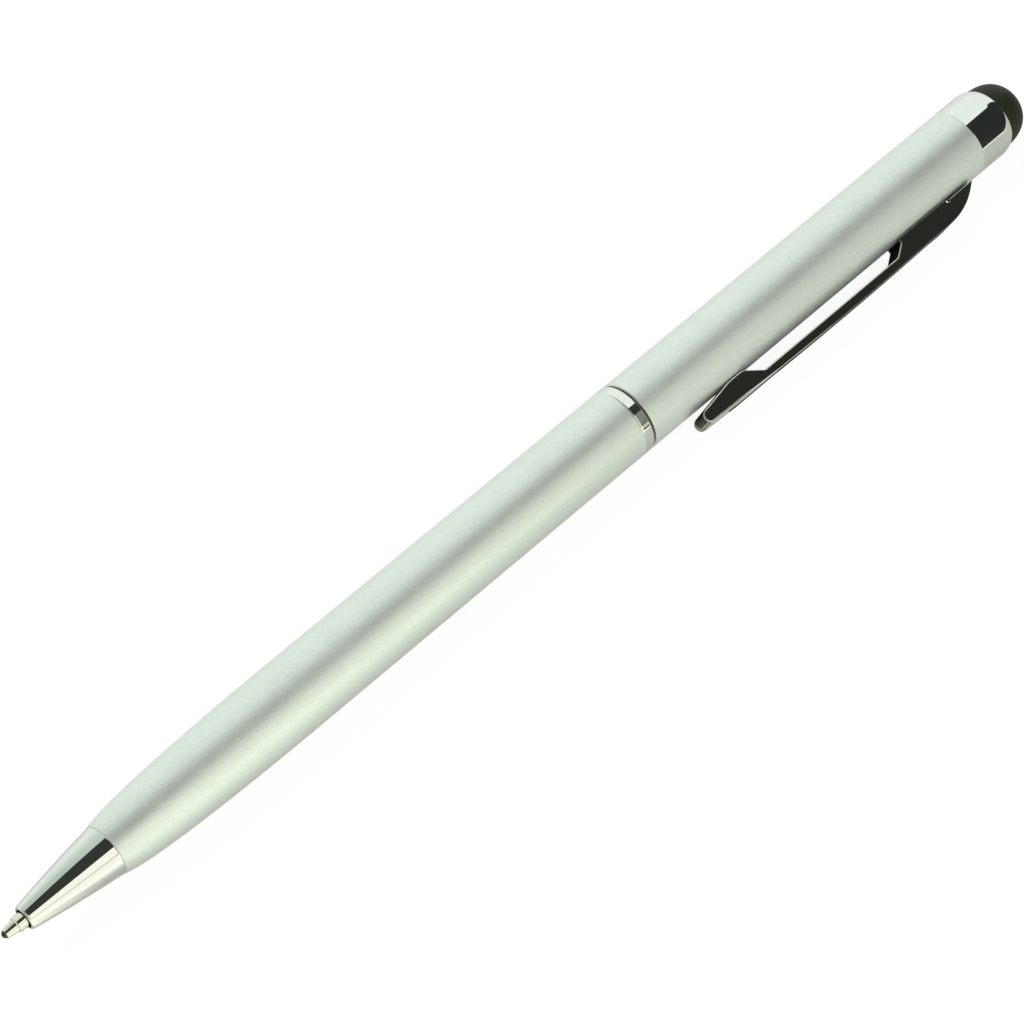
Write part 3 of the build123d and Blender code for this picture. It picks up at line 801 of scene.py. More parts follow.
@dataclass
class UpperHalf(PenHalf):
    """Upper barrel with the slot for the clip, collar and rubber dome."""

    clip_frame: ClipFrame = field(default_factory=ClipFrame)
    # Barrel, and the slot in it for the clip's tab
    front_x: float = 22.68
    front_cut: float = 0.1
    slot_front_x: float = 64.25
    slot_rear_x: float = 66.05
    slot_half: float = 1.1
    # Collar: a spigot in the barrel, a straight side and a shoulder
    collar_x: float = 70.80
    collar_spigot_x: float = 68.00
    insert_radius: float = 3.33
    shoulder_x: float = 74.20
    press_gap: float = 0.02
    # Dome: its outside and cavity, and the flanged skirt in the collar
    dome_x: float = 75.50
    dome_end_x: float = 79.20
    dome_radius: float = 3.42
    cavity_x: float = 76.10
    cavity_end_x: float = 78.40
    cavity_radius: float = 2.62
    fullness_share: float = 0.64
    flange_x: float = 72.50
    flange_rear_x: float = 73.70
    flange_radius: float = 3.05
    skirt_radius: float = 2.80
    skirt_bore: float = 2.0
    # Round at the edges
    edge: float = 0.04
    # Counts of points
    slot_columns: int = 32
    shoulder_points: int = 24
    dome_points: int = 72
    cavity_points: int = 40

    def barrel(self) -> bpy.types.Object:
        """Makes the upper barrel as a tube on a grid of rows along a closed profile and columns round it.

        The columns spread so that two of them follow the slot's sides, which lie a fixed distance off
        the clip's middle plane: at radius r they stand at the angle whose sine is that distance over r.
        The cells of the slot are left out of the outer and inner wall, and its four sides join the walls.

        Returns:
            The upper barrel.
        """
        corners = [
            (self.front_x, self.barrel_radius - self.front_cut),
            (self.front_x + self.front_cut, self.barrel_radius),
            (self.slot_front_x, self.barrel_radius),
            (self.slot_rear_x, self.barrel_radius),
            (self.collar_x, self.barrel_radius),
            (self.collar_x, self.barrel_bore),
            (self.slot_rear_x, self.barrel_bore),
            (self.slot_front_x, self.barrel_bore),
            (self.front_x, self.barrel_bore),
        ]
        sizes = [self.edge, self.edge, 0, 0, self.edge, self.edge, 0, 0, self.edge]
        path = softened(corners, sizes)
        side = np.arcsin(self.slot_half / path[:, 1:])
        column = np.arange(AROUND)[None, :]
        rest = AROUND - self.slot_columns
        angle = np.where(
            column <= self.slot_columns,
            side * (2 * column / self.slot_columns - 1),
            side + (2 * math.pi - 2 * side) * (column - self.slot_columns) / rest,
        )
        x, radius = path[:, :1] + 0 * angle, path[:, 1:]
        vertices = self.clip_frame.place(x, radius * np.cos(angle), radius * np.sin(angle)).reshape(-1, 3)

        slot_corners = [corner for corner, size in zip(corners, sizes) if not size]
        front, rear, inner_rear, inner_front = (
            int(np.argmin(np.abs(path - corner).sum(axis=1))) for corner in slot_corners
        )
        rows = np.append(np.arange(len(path)), 0)
        columns = np.append(np.arange(AROUND), 0)
        quads = ring_quads(rows, columns, AROUND).reshape(len(path), AROUND, 4)
        keep = np.ones(quads.shape[:2], bool)
        keep[[front, inner_rear], : self.slot_columns] = False
        left, right = np.arange(self.slot_columns), np.arange(1, self.slot_columns + 1)
        ends = np.concatenate(
            [
                np.stack([outer + one, outer + two, inner + two, inner + one], axis=-1)
                for outer, inner, one, two in (
                    (front * AROUND, inner_front * AROUND, left, right),
                    (rear * AROUND, inner_rear * AROUND, right, left),
                )
            ]
        )
        near, far = 0, self.slot_columns
        sides = [
            [row * AROUND + near for row in (rear, front, inner_front, inner_rear)],
            [row * AROUND + far for row in (front, rear, inner_rear, inner_front)],
        ]
        return new_piece("upper_tube", vertices, quads[keep].tolist() + ends.tolist() + sides)

    def collar(self) -> bpy.types.Object:
        """Turns the collar: a straight side, then a shoulder that falls by an arc to the dome.

        Returns:
            The collar.
        """
        run, fall = self.dome_x - self.shoulder_x, self.barrel_radius - self.dome_radius
        bend = (run**2 + fall**2) / (2 * fall)
        turn = np.linspace(0, math.asin(run / bend), self.shoulder_points)
        shoulder = np.stack(
            [self.shoulder_x + bend * np.sin(turn), self.barrel_radius - bend * (1 - np.cos(turn))], axis=-1
        )
        side = np.vstack([[(self.collar_x, self.barrel_radius)], shoulder])
        inside = [
            (self.dome_x, self.skirt_radius + self.press_gap),
            (self.flange_rear_x + self.press_gap, self.skirt_radius + self.press_gap),
            (self.flange_rear_x + self.press_gap, self.flange_radius + self.press_gap),
            (self.collar_spigot_x, self.flange_radius + self.press_gap),
            (self.collar_spigot_x, self.insert_radius),
            (self.collar_x, self.insert_radius),
        ]
        sizes = np.concatenate([[self.edge], np.zeros(len(side) - 2), np.full(len(inside) + 1, self.edge)])
        return new_piece("stylus_ferrule", *turned(softened(np.vstack([side, inside]), sizes)))

    def dome(self) -> bpy.types.Object:
        """Turns the dome: Bezier outside and cavity, with the flanged skirt that the collar holds.

        Returns:
            The dome.
        """
        outside = bezier(
            (self.dome_end_x, 0),
            (self.dome_end_x, self.fullness_share * self.dome_radius),
            (self.dome_x + self.fullness_share * (self.dome_end_x - self.dome_x), self.dome_radius),
            (self.dome_x, self.dome_radius),
            self.dome_points,
        )
        skirt = [
            (self.dome_x, self.skirt_radius),
            (self.flange_rear_x, self.skirt_radius),
            (self.flange_rear_x, self.flange_radius),
            (self.flange_x, self.flange_radius),
            (self.flange_x, self.skirt_bore),
            (self.cavity_x, self.skirt_bore),
        ]
        cavity = bezier(
            (self.cavity_x, self.cavity_radius),
            (self.cavity_x + self.fullness_share * (self.cavity_end_x - self.cavity_x), self.cavity_radius),
            (self.cavity_end_x, self.fullness_share * self.cavity_radius),
            (self.cavity_end_x, 0),
            self.cavity_points,
        )
        sizes = np.concatenate(
            [np.zeros(len(outside) - 1), [self.edge], np.full(len(skirt), self.edge), np.zeros(len(cavity))]
        )
        path = softened(np.vstack([outside, skirt, cavity]), sizes)
        return new_piece("rubber_dome", *turned(path, poles=True))

    def build(self) -> None:
        """Builds and dresses the upper barrel, the collar and the dome."""
        self.fit(self.barrel(), Body.UPPER, Slot.LACQUER, "upper_barrel")
        self.fit(self.collar(), Body.UPPER, Slot.CHROME, "stylus_collar")
        self.fit(self.dome(), Body.UPPER, Slot.RUBBER, "stylus_dome")


@dataclass
class PocketClip(SubAssembly):
    """The clip: spring sheet bent to a channel, open at its free end, with a footed tab in the barrel."""

    clip_frame: ClipFrame = field(default_factory=ClipFrame)
    # Length, sheet and width
    front_x: float = 28.05
    rear_x: float = 68.45
    tip_cut: float = 0.04
    sheet: float = 0.4
    front_width: float = 3.05
    rear_width: float = 3.3
    # Spine, by its distance off the pen's axis
    spine_front: float = 5.72
    spine_end: float = 5.91
    bow: float = 0.275
    tail_x: float = 63.00
    tail_reach: float = 3.80
    # Bend between walls and spine: wide at the free end, and tight from the arm on, where the channel
    # is a little lower and narrower
    bend: float = 0.3
    arm_bend: float = 0.06
    arm_drop: float = 0.13
    arm_narrow: float = 0.07
    tighten_x: float = 33.0
    tight_x: float = 38.0
    full_x: float = 61.0
    level_x: float = 66.0
    # Rounded free end
    nose_reach: float = 5.00
    nose_over: float = 0.75
    nose_under: float = 0.72
    edge_x: float = 28.58
    edge_reach: float = 4.30
    unround_run: float = 2.0
    # Lower edge of the walls: belly, arm, base, notch and tail, with the round at each corner
    seat_reach: float = 3.617
    belly_x: float = 32.60
    belly_round: float = 0.51
    belly_rear_x: float = 34.50
    belly_rear_round: float = 0.38
    arm_x: float = 36.45
    arm_reach: float = 5.0
    arm_round: float = 0.16
    arm_rear_x: float = 56.05
    arm_rear_round: float = 0.15
    base_x: float = 57.50
    base_reach: float = 4.05
    base_round: float = 0.08
    base_seat_round: float = 0.05
    notch_x: float = 64.45
    notch_rear_x: float = 64.85
    notch_reach: float = 4.0
    notch_lip_round: float = 0.04
    notch_round: float = 0.03
    steep_run: float = 0.02
    # Rounds at the cut edges
    cut_edge: float = 0.12
    base_edge: float = 0.03
    tail_edge: float = 0.07
    base_edge_x: float = 57.3
    base_edge_full_x: float = 57.6
    notch_lead: float = 0.05
    inner_edge: float = 0.05
    end_edge: float = 0.1
    least_hollow: float = 0.02
    # Tab and foot
    tab_half: float = 0.9
    tab_top: float = 5.46
    foot_x: float = 63.45
    foot_floor: float = 2.377
    foot_top: float = 2.827
    # Counts of points, and where the close stations of the belly end
    belly_end_x: float = 36.75
    run_stations: tuple[int, int, int] = (90, 60, 60)
    edge_points: int = 6
    bend_points: int = 11
    wall_points: int = 16

    def spine_reach(self, x: Points, inset: float) -> Points:
        """Gives how far the spine stands off the axis: a shallow bow, then a tighter arc tangent to it.

        Args:
            x: Places along the pen.
            inset: Depth below the outer face: zero, or the sheet's thickness for the inner face.

        Returns:
            The reach at each place.
        """
        chord = np.array([self.tail_x - self.front_x, self.spine_end - self.spine_front])
        half = np.linalg.norm(chord) / 2
        radius = (half**2 + self.bow**2) / (2 * self.bow)
        slope = math.asin(half / radius) - math.atan2(chord[1], chord[0])
        down = np.array([math.sin(slope), math.cos(slope)])
        end = np.array([self.tail_x, self.spine_end])
        run, fall = self.rear_x - self.tail_x, self.spine_end - self.tail_reach
        bend = (run**2 + fall**2) / (2 * (fall * down[1] - run * down[0]))
        middle, pivot = end - radius * down, end - bend * down
        bowed = middle[1] + np.sqrt((radius - inset) ** 2 - (x - middle[0]) ** 2)
        bent = pivot[1] + np.sqrt(np.clip((bend - inset) ** 2 - (x - pivot[0]) ** 2, 0, None))
        return np.where(x < middle[0] + (radius - inset) * down[0], bowed, bent)

    def nose_run(self, reach: Points) -> Points:
        """Gives how far the rounded free end stands back: a circle above its foremost point, and one below.

        Args:
            reach: Distances off the pen's axis.

        Returns:
            The setback at each distance.
        """
        over = np.clip(reach - self.nose_reach, 0, self.nose_over)
        under = np.clip(self.nose_reach - reach, 0, self.nose_reach - self.edge_reach)
        return (
            self.nose_over - np.sqrt(self.nose_over**2 - over**2)
            + self.nose_under - np.sqrt(self.nose_under**2 - np.minimum(under, self.nose_under) ** 2)
        )

    def lower_edge(self) -> Points:
        """Gives the lower edge of the walls as x and reach: belly, arm, base, notch and tail.

        Returns:
            The points of the edge, from the free end to the tail.
        """
        corners = np.array(
            [
                (self.edge_x, self.edge_reach, 0),
                (self.belly_x, self.seat_reach, self.belly_round),
                (self.belly_rear_x, self.seat_reach, self.belly_rear_round),
                (self.arm_x, self.arm_reach, self.arm_round),
                (self.arm_rear_x, self.arm_reach, self.arm_rear_round),
                (self.base_x - self.steep_run, self.base_reach, self.base_round),
                (self.base_x + self.steep_run, self.seat_reach, self.base_seat_round),
                (self.notch_x - self.steep_run, self.seat_reach, self.notch_lip_round),
                (self.notch_x, self.notch_reach, self.notch_round),
                (self.notch_rear_x, self.notch_reach, self.notch_round),
                (self.notch_rear_x + self.steep_run, self.tail_reach, self.notch_round),
                (self.rear_x, self.tail_reach, 0),
            ]
        )
        return softened(corners[:, :2], corners[:, 2])

    def chain(
        self, half: Points, low: Points, high: Points, edge: Points, bend: Points, side: Side
    ) -> tuple[Points, Points]:
        """Gives one face of the channel's section: up one wall, over the spine and down the other wall.

        Each half is a quarter round at the cut edge, a straight wall, a quarter round bend and half the
        spine, and the second half is the first one mirrored.

        Args:
            half: Half the width at each station.
            low: Reach of the walls' lower edge at each station.
            high: Reach of the spine at each station.
            edge: Radius of the round at the cut edge.
            bend: Radius of the bend.
            side: Which face of the sheet it is.

        Returns:
            Distance across and reach, each with a row for every station.
        """
        half, low, high, edge, bend = (value[:, None] for value in (half, low, high, edge, bend))
        lip = np.linspace(0, math.pi / 2, self.edge_points)[None, :]
        turn = np.linspace(0, math.pi / 2, self.bend_points)[None, :]
        rise = np.linspace(0, 1, self.wall_points)[None, :]
        hold = np.minimum(SUPPORT, 0.1 * (high - low))
        foot, top = low + edge + hold, high - bend - hold
        across = np.hstack(
            [
                half - side.value * edge * (1 - np.sin(lip)),
                half + 0 * rise,
                half - bend * (1 - np.cos(turn)),
                half - bend - hold,
            ]
        )
        reach = np.hstack(
            [
                low + edge * (1 - np.cos(lip)),
                foot + (top - foot) * rise,
                high - bend * (1 - np.sin(turn)),
                high + 0 * hold,
            ]
        )
        return (
            np.hstack([across, np.zeros_like(half), -across[:, ::-1]]),
            np.hstack([reach, high + 0 * hold, reach[:, ::-1]]),
        )

    def stations(self, low_edge: Points) -> tuple[Points, Points]:
        """Gives the places that get a section, and how far its two faces draw together there.

        The first few lie on a quarter round at the cut free end. The others are evenly spread in the
        belly, the arm and the tail, and there is one at every point of the walls' lower edge.

        Args:
            low_edge: The points of the walls' lower edge.

        Returns:
            The places, and the share of the sheet's thickness by which each face moves to the other.
        """
        turn = np.linspace(math.pi / 2, 0, self.edge_points)
        front = self.front_x + self.end_edge * (1 - np.sin(turn))
        tip = self.rear_x - self.tip_cut
        ends = (self.front_x + self.end_edge, self.belly_end_x, self.tail_x, tip)
        belly, arm, tail = map(np.linspace, ends, ends[1:], self.run_stations)
        corners = low_edge[(low_edge[:, 0] > self.front_x + self.unround_run) & (low_edge[:, 0] < tip), 0]
        x = np.unique(np.round(np.concatenate([belly[1:], arm, tail, corners]), 3))
        squeeze = self.end_edge / self.sheet * (1 - np.cos(turn))
        return np.concatenate([front, x]), np.concatenate([squeeze, np.zeros_like(x)])

    def channel(self) -> tuple[Points, Faces, Points]:
        """Carries the channel's section along the pen, and closes it at both ends across the sheet.

        At the free end each point of the section stands back as far as the rounded end does at its
        reach, and less so further along. The outer and inner faces draw together there over a quarter
        round, so that the cut end has soft edges.

        Returns:
            The vertices in millimetres, the faces, and how far inside each vertex lies: zero on the outer
            face, and on the inner face from one at the walls' edge to two at the spine.
        """
        low_edge = self.lower_edge()
        x, squeeze = self.stations(low_edge)
        back = np.clip(1 - (x - self.front_x) / self.unround_run, 0, 1)
        high_x = x + back * self.nose_run(np.array(self.spine_front))
        low_x = x + back * (self.edge_x - self.front_x)
        tight = np.interp(x, [self.tighten_x, self.tight_x], [0.0, 1.0])
        drop = self.arm_drop * tight * np.interp(x, [self.full_x, self.level_x], [1.0, 0.0])
        high = self.spine_reach(high_x, 0) - drop
        low = np.interp(low_x, low_edge[:, 0], low_edge[:, 1])
        tall = high - low
        share = (x - self.front_x) / (self.rear_x - self.front_x)
        width = self.front_width + (self.rear_width - self.front_width) * share - self.arm_narrow * tight
        least = low + np.minimum(self.least_hollow, 0.3 * tall)
        ceiling = np.maximum(self.spine_reach(high_x, self.sheet) - drop, least)
        hollow = ceiling - low
        edge = np.interp(
            x,
            [self.base_edge_x, self.base_edge_full_x, self.notch_x - self.notch_lead, self.notch_rear_x],
            [self.cut_edge, self.base_edge, self.base_edge, self.tail_edge],
        )
        bend = self.bend + (self.arm_bend - self.bend) * tight
        # Where the walls run out at the tail, every round shrinks to a share of their height
        outer = self.chain(
            width / 2, low, high, np.minimum(edge, 0.15 * tall), np.minimum(bend, 0.7 * tall), Side.OUTER
        )
        inner = self.chain(
            width / 2 - self.sheet, low, ceiling, np.minimum(self.inner_edge, 0.3 * hollow),
            np.minimum(self.inner_edge, 0.5 * hollow), Side.INNER,
        )
        part = squeeze[:, None]
        aside, reach = (
            np.hstack([out + (within - out) * part, (within + (out - within) * part)[:, ::-1]])
            for out, within in zip(outer, inner)
        )
        along = x[:, None] + back[:, None] * self.nose_run(reach)
        vertices = self.clip_frame.place(along, reach, aside).reshape(-1, 3)

        loop = aside.shape[1]
        sides = ring_quads(np.arange(len(x)), np.append(np.arange(loop), 0), loop)
        k = np.arange(loop // 2 - 1)
        cap = np.stack([k, loop - 1 - k, loop - 2 - k, k + 1], axis=-1)
        last = (len(x) - 1) * loop
        deep = (inner[1] - low[:, None]) / hollow[:, None]
        inside = np.hstack([np.zeros_like(outer[1]), 1 + deep[:, ::-1]]).ravel()
        return vertices, np.concatenate([sides, cap, last + cap[:, ::-1]]).tolist(), inside

    def tab(self, first: int) -> tuple[Points, Faces]:
        """Gives the tab and its foot: an L with rounded corners, carried straight across the clip.

        Args:
            first: The number that its first vertex has in the whole clip.

        Returns:
            The vertices in millimetres and the faces.
        """
        outline = [
            (self.notch_x, self.tab_top),
            (self.notch_x, self.foot_top),
            (self.foot_x, self.foot_top),
            (self.foot_x, self.foot_floor),
            (self.notch_rear_x, self.foot_floor),
            (self.notch_rear_x, self.tab_top),
        ]
        loop = softened(outline, [self.inner_edge] * len(outline))
        aside = np.array([-self.tab_half, self.tab_half])[:, None] + 0 * loop[None, :, 0]
        x, reach = loop[None, :, 0] + 0 * aside, loop[None, :, 1] + 0 * aside
        vertices = self.clip_frame.place(x, reach, aside).reshape(-1, 3)
        count = len(loop)
        sides = first + ring_quads(np.arange(2), np.append(np.arange(count), 0), count)
        ends = first + np.arange(2 * count).reshape(2, count)
        return vertices, sides.tolist() + [ends[0, ::-1].tolist(), ends[1].tolist()]

    def build(self) -> None:
        """Builds and dresses the clip, and marks how far inside its channel each vertex lies."""
        vertices, faces, inside = self.channel()
        tab_vertices, tab_faces = self.tab(len(vertices))
        piece = new_piece("pocket_clip", np.vstack([vertices, tab_vertices]), faces + tab_faces)
        mark = piece.data.attributes.new(INSIDE, "FLOAT", "POINT")
        mark.data.foreach_set("value", np.append(inside, np.ones(len(tab_vertices))).astype(np.float32))
        self.fit(piece, Body.CLIP, Slot.CLIP_CHROME, "clip")


@dataclass
class Refill(SubAssembly):
    """The refill's point and its ball."""

    # Ball, and the lip and socket that hold it
    ball_x: float = -56.75
    ball_radius: float = 0.4
    lip_x: float = -56.85
    lip_bore: float = 0.408
    lip_radius: float = 0.458
    socket_radius: float = 0.42
    # Outside of the point: cone, neck, shoulder, collar, and the tail that the ink tube goes over
    cone_x: float = -55.65
    cone_radius: float = 0.618
    neck_radius: float = 0.768
    neck_cut: float = 0.1
    shoulder_x: float = -50.85
    shoulder_run: float = 0.9
    shoulder_radius: float = 1.018
    collar_x: float = -45.96
    collar_cut: float = 0.2
    refill_radius: float = 1.2
    tube_x: float = -45.46
    tail_x: float = -41.46
    tail_radius: float = 0.98
    # Ink's way to the ball
    feed_radius: float = 0.63
    duct_radius: float = 0.2
    # Rounds at the edges
    edge: float = 0.03
    lip_edge: float = 0.015
    # Counts of points
    socket_points: int = 20
    ball_points: int = 49

    def point(self) -> bpy.types.Object:
        """Turns the point: cone, neck, shoulder and collar, with the ball's socket and the ink feed inside.

        Returns:
            The point.
        """
        first = math.atan2(self.lip_bore, self.lip_x - self.ball_x)
        last = math.asin(self.duct_radius / self.socket_radius)
        angle = np.linspace(first, last, self.socket_points)
        socket = np.stack(
            [self.ball_x + self.socket_radius * np.cos(angle), self.socket_radius * np.sin(angle)], axis=-1
        )
        rest = [
            (self.shoulder_x, self.duct_radius),
            (self.shoulder_x + self.shoulder_run, self.feed_radius),
            (self.tail_x, self.feed_radius),
            (self.tail_x, self.tail_radius),
            (self.tube_x, self.tail_radius),
            (self.tube_x, self.refill_radius),
            (self.collar_x + self.collar_cut, self.refill_radius),
            (self.collar_x, self.shoulder_radius),
            (self.shoulder_x + self.shoulder_run, self.shoulder_radius),
            (self.shoulder_x, self.neck_radius),
            (self.cone_x + self.neck_cut, self.neck_radius),
            (self.cone_x, self.cone_radius),
            (self.lip_x, self.lip_radius),
        ]
        sizes = np.concatenate(
            [np.zeros(len(socket)), np.full(len(rest) - 1, self.edge), [self.lip_edge]]
        )
        return new_piece("ball_point", *turned(softened(np.vstack([socket, rest]), sizes)))

    def ball(self) -> bpy.types.Object:
        """Turns the ball: half a circle carried round the axis.

        Returns:
            The ball.
        """
        angle = np.linspace(math.pi, 0, self.ball_points)
        path = np.stack(
            [self.ball_x + self.ball_radius * np.cos(angle), self.ball_radius * np.sin(angle)], axis=-1
        )
        return new_piece("carbide_ball", *turned(path, poles=True))

    def build(self) -> None:
        """Builds and dresses the point and the ball."""
        self.fit(self.point(), Body.REFILL, Slot.NICKEL_SILVER, "refill_point")
        self.fit(self.ball(), Body.BALL, Slot.CARBIDE, "writing_ball")


@dataclass
class InnerWorks(SubAssembly):
    """The solids inside the pen, which keep their shape and get a finish each."""

    def build(self) -> None:
        """Dresses each solid with the finish of its slot in the record."""
        shown = {
            Slot.BRASS: ("housing_bush", "mechanism_housing", "refill_tube"),
            Slot.ACETAL: ("grip_liner", "cam_sleeve", "clip_anchor", "carrier"),
            Slot.BLACK_PLASTIC: ("stylus_core", "refill_plug"),
            Slot.STEEL: ("retaining_ring", "carrier_pin"),
            Slot.RUBBER: ("friction_ring",),
            Slot.INK: ("ink",),
        }
        for slot, names in shown.items():
            for name in names:
                self.finishes.dress(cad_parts[name], slot)
                LOG.info("%s keeps its solid and takes %s", name, slot.value)


def stage_sheet(name: str, corners: Points, material: bpy.types.Material) -> bpy.types.Object:
    """Makes one flat face for the stage.

    Args:
        name: The object's name.
        corners: Corner points in millimetres.
        material: Its material.

    Returns:
        The object, marked as stage.
    """
    mesh = bpy.data.meshes.new(name)
    mesh.from_pydata((corners * MM).tolist(), [], [list(range(len(corners)))])
    mesh.materials.append(material)
    made = bpy.data.objects.new(name, mesh)
    bpy.context.scene.collection.objects.link(made)
    return made


def standing(place: Sequence[float], right: Points, up: Points, back: Points) -> Matrix:
    """Gives the matrix of a lamp or camera from its place and its three directions.

    Args:
        place: Where it stands, in millimetres.
        right: Its direction to the right.
        up: Its direction upwards.
        back: Its direction away from what it faces.

    Returns:
        The matrix in metres.
    """
    turn = np.eye(4)
    turn[:3, :3] = np.stack([right, up, back], axis=-1)
    turn[:3, 3] = np.array(place) * MM
    return Matrix(turn.tolist())


@dataclass(frozen=True)
class Card:
    """A flat card that only reflections show, of one tone, or fading to another along Y."""

    name: str
    square_to: Axis
    place: float
    outline: Outline
    tone: str
    end_tone: str = ""
    fade: tuple[float, float] = (0.0, 1.0)
    level: float = 1.0

    def hang(self) -> None:
        """Makes the card: its outline, with its place put in as the coordinate that it is square to."""
        made = bpy.data.materials.new(self.name)
        tree = empty_tree(made)
        tone: Any = linear(self.tone)
        if self.end_tone:
            spot = add_node(tree, "ShaderNodeTexCoord").outputs["Object"]
            y = add_node(tree, "ShaderNodeSeparateXYZ", {"Vector": spot}).outputs["Y"]
            share = add_node(
                tree, "ShaderNodeMapRange",
                {"Value": y, "From Min": self.fade[0] * MM, "From Max": self.fade[1] * MM},
            ).outputs["Result"]
            tone = add_node(
                tree, "ShaderNodeMix", {0: share, 6: tone, 7: linear(self.end_tone)}, data_type="RGBA"
            ).outputs[2]
        face = add_node(tree, "ShaderNodeEmission", {"Color": tone, "Strength": self.level})
        add_node(tree, "ShaderNodeOutputMaterial", {"Surface": face.outputs[0]})
        corners = np.insert(np.array(self.outline, float), self.square_to.value, self.place, axis=1)
        hung = stage_sheet(self.name, corners, made)
        hung.visible_camera = False
        hung.visible_diffuse = False
        hung.visible_shadow = False
        hung.visible_transmission = False


@dataclass(frozen=True)
class Lamp:
    """A square soft lamp that faces the pen's middle: its place, its side and its power in watts."""

    name: str
    place: tuple[float, float, float]
    size: float
    power: float

    def hang(self) -> None:
        """Makes the lamp. Mirrors don't show it, because the cards and the surround stand for it there."""
        light = bpy.data.lights.new(self.name, "AREA")
        light.shape = "SQUARE"
        light.size = self.size * MM
        light.energy = self.power
        made = bpy.data.objects.new(self.name, light)
        back = unit(np.array(self.place, float))
        side = unit(np.cross((0.0, 1.0, 0.0), back))
        made.matrix_world = standing(self.place, side, np.cross(back, side), back)
        made.visible_glossy = False
        bpy.context.scene.collection.objects.link(made)


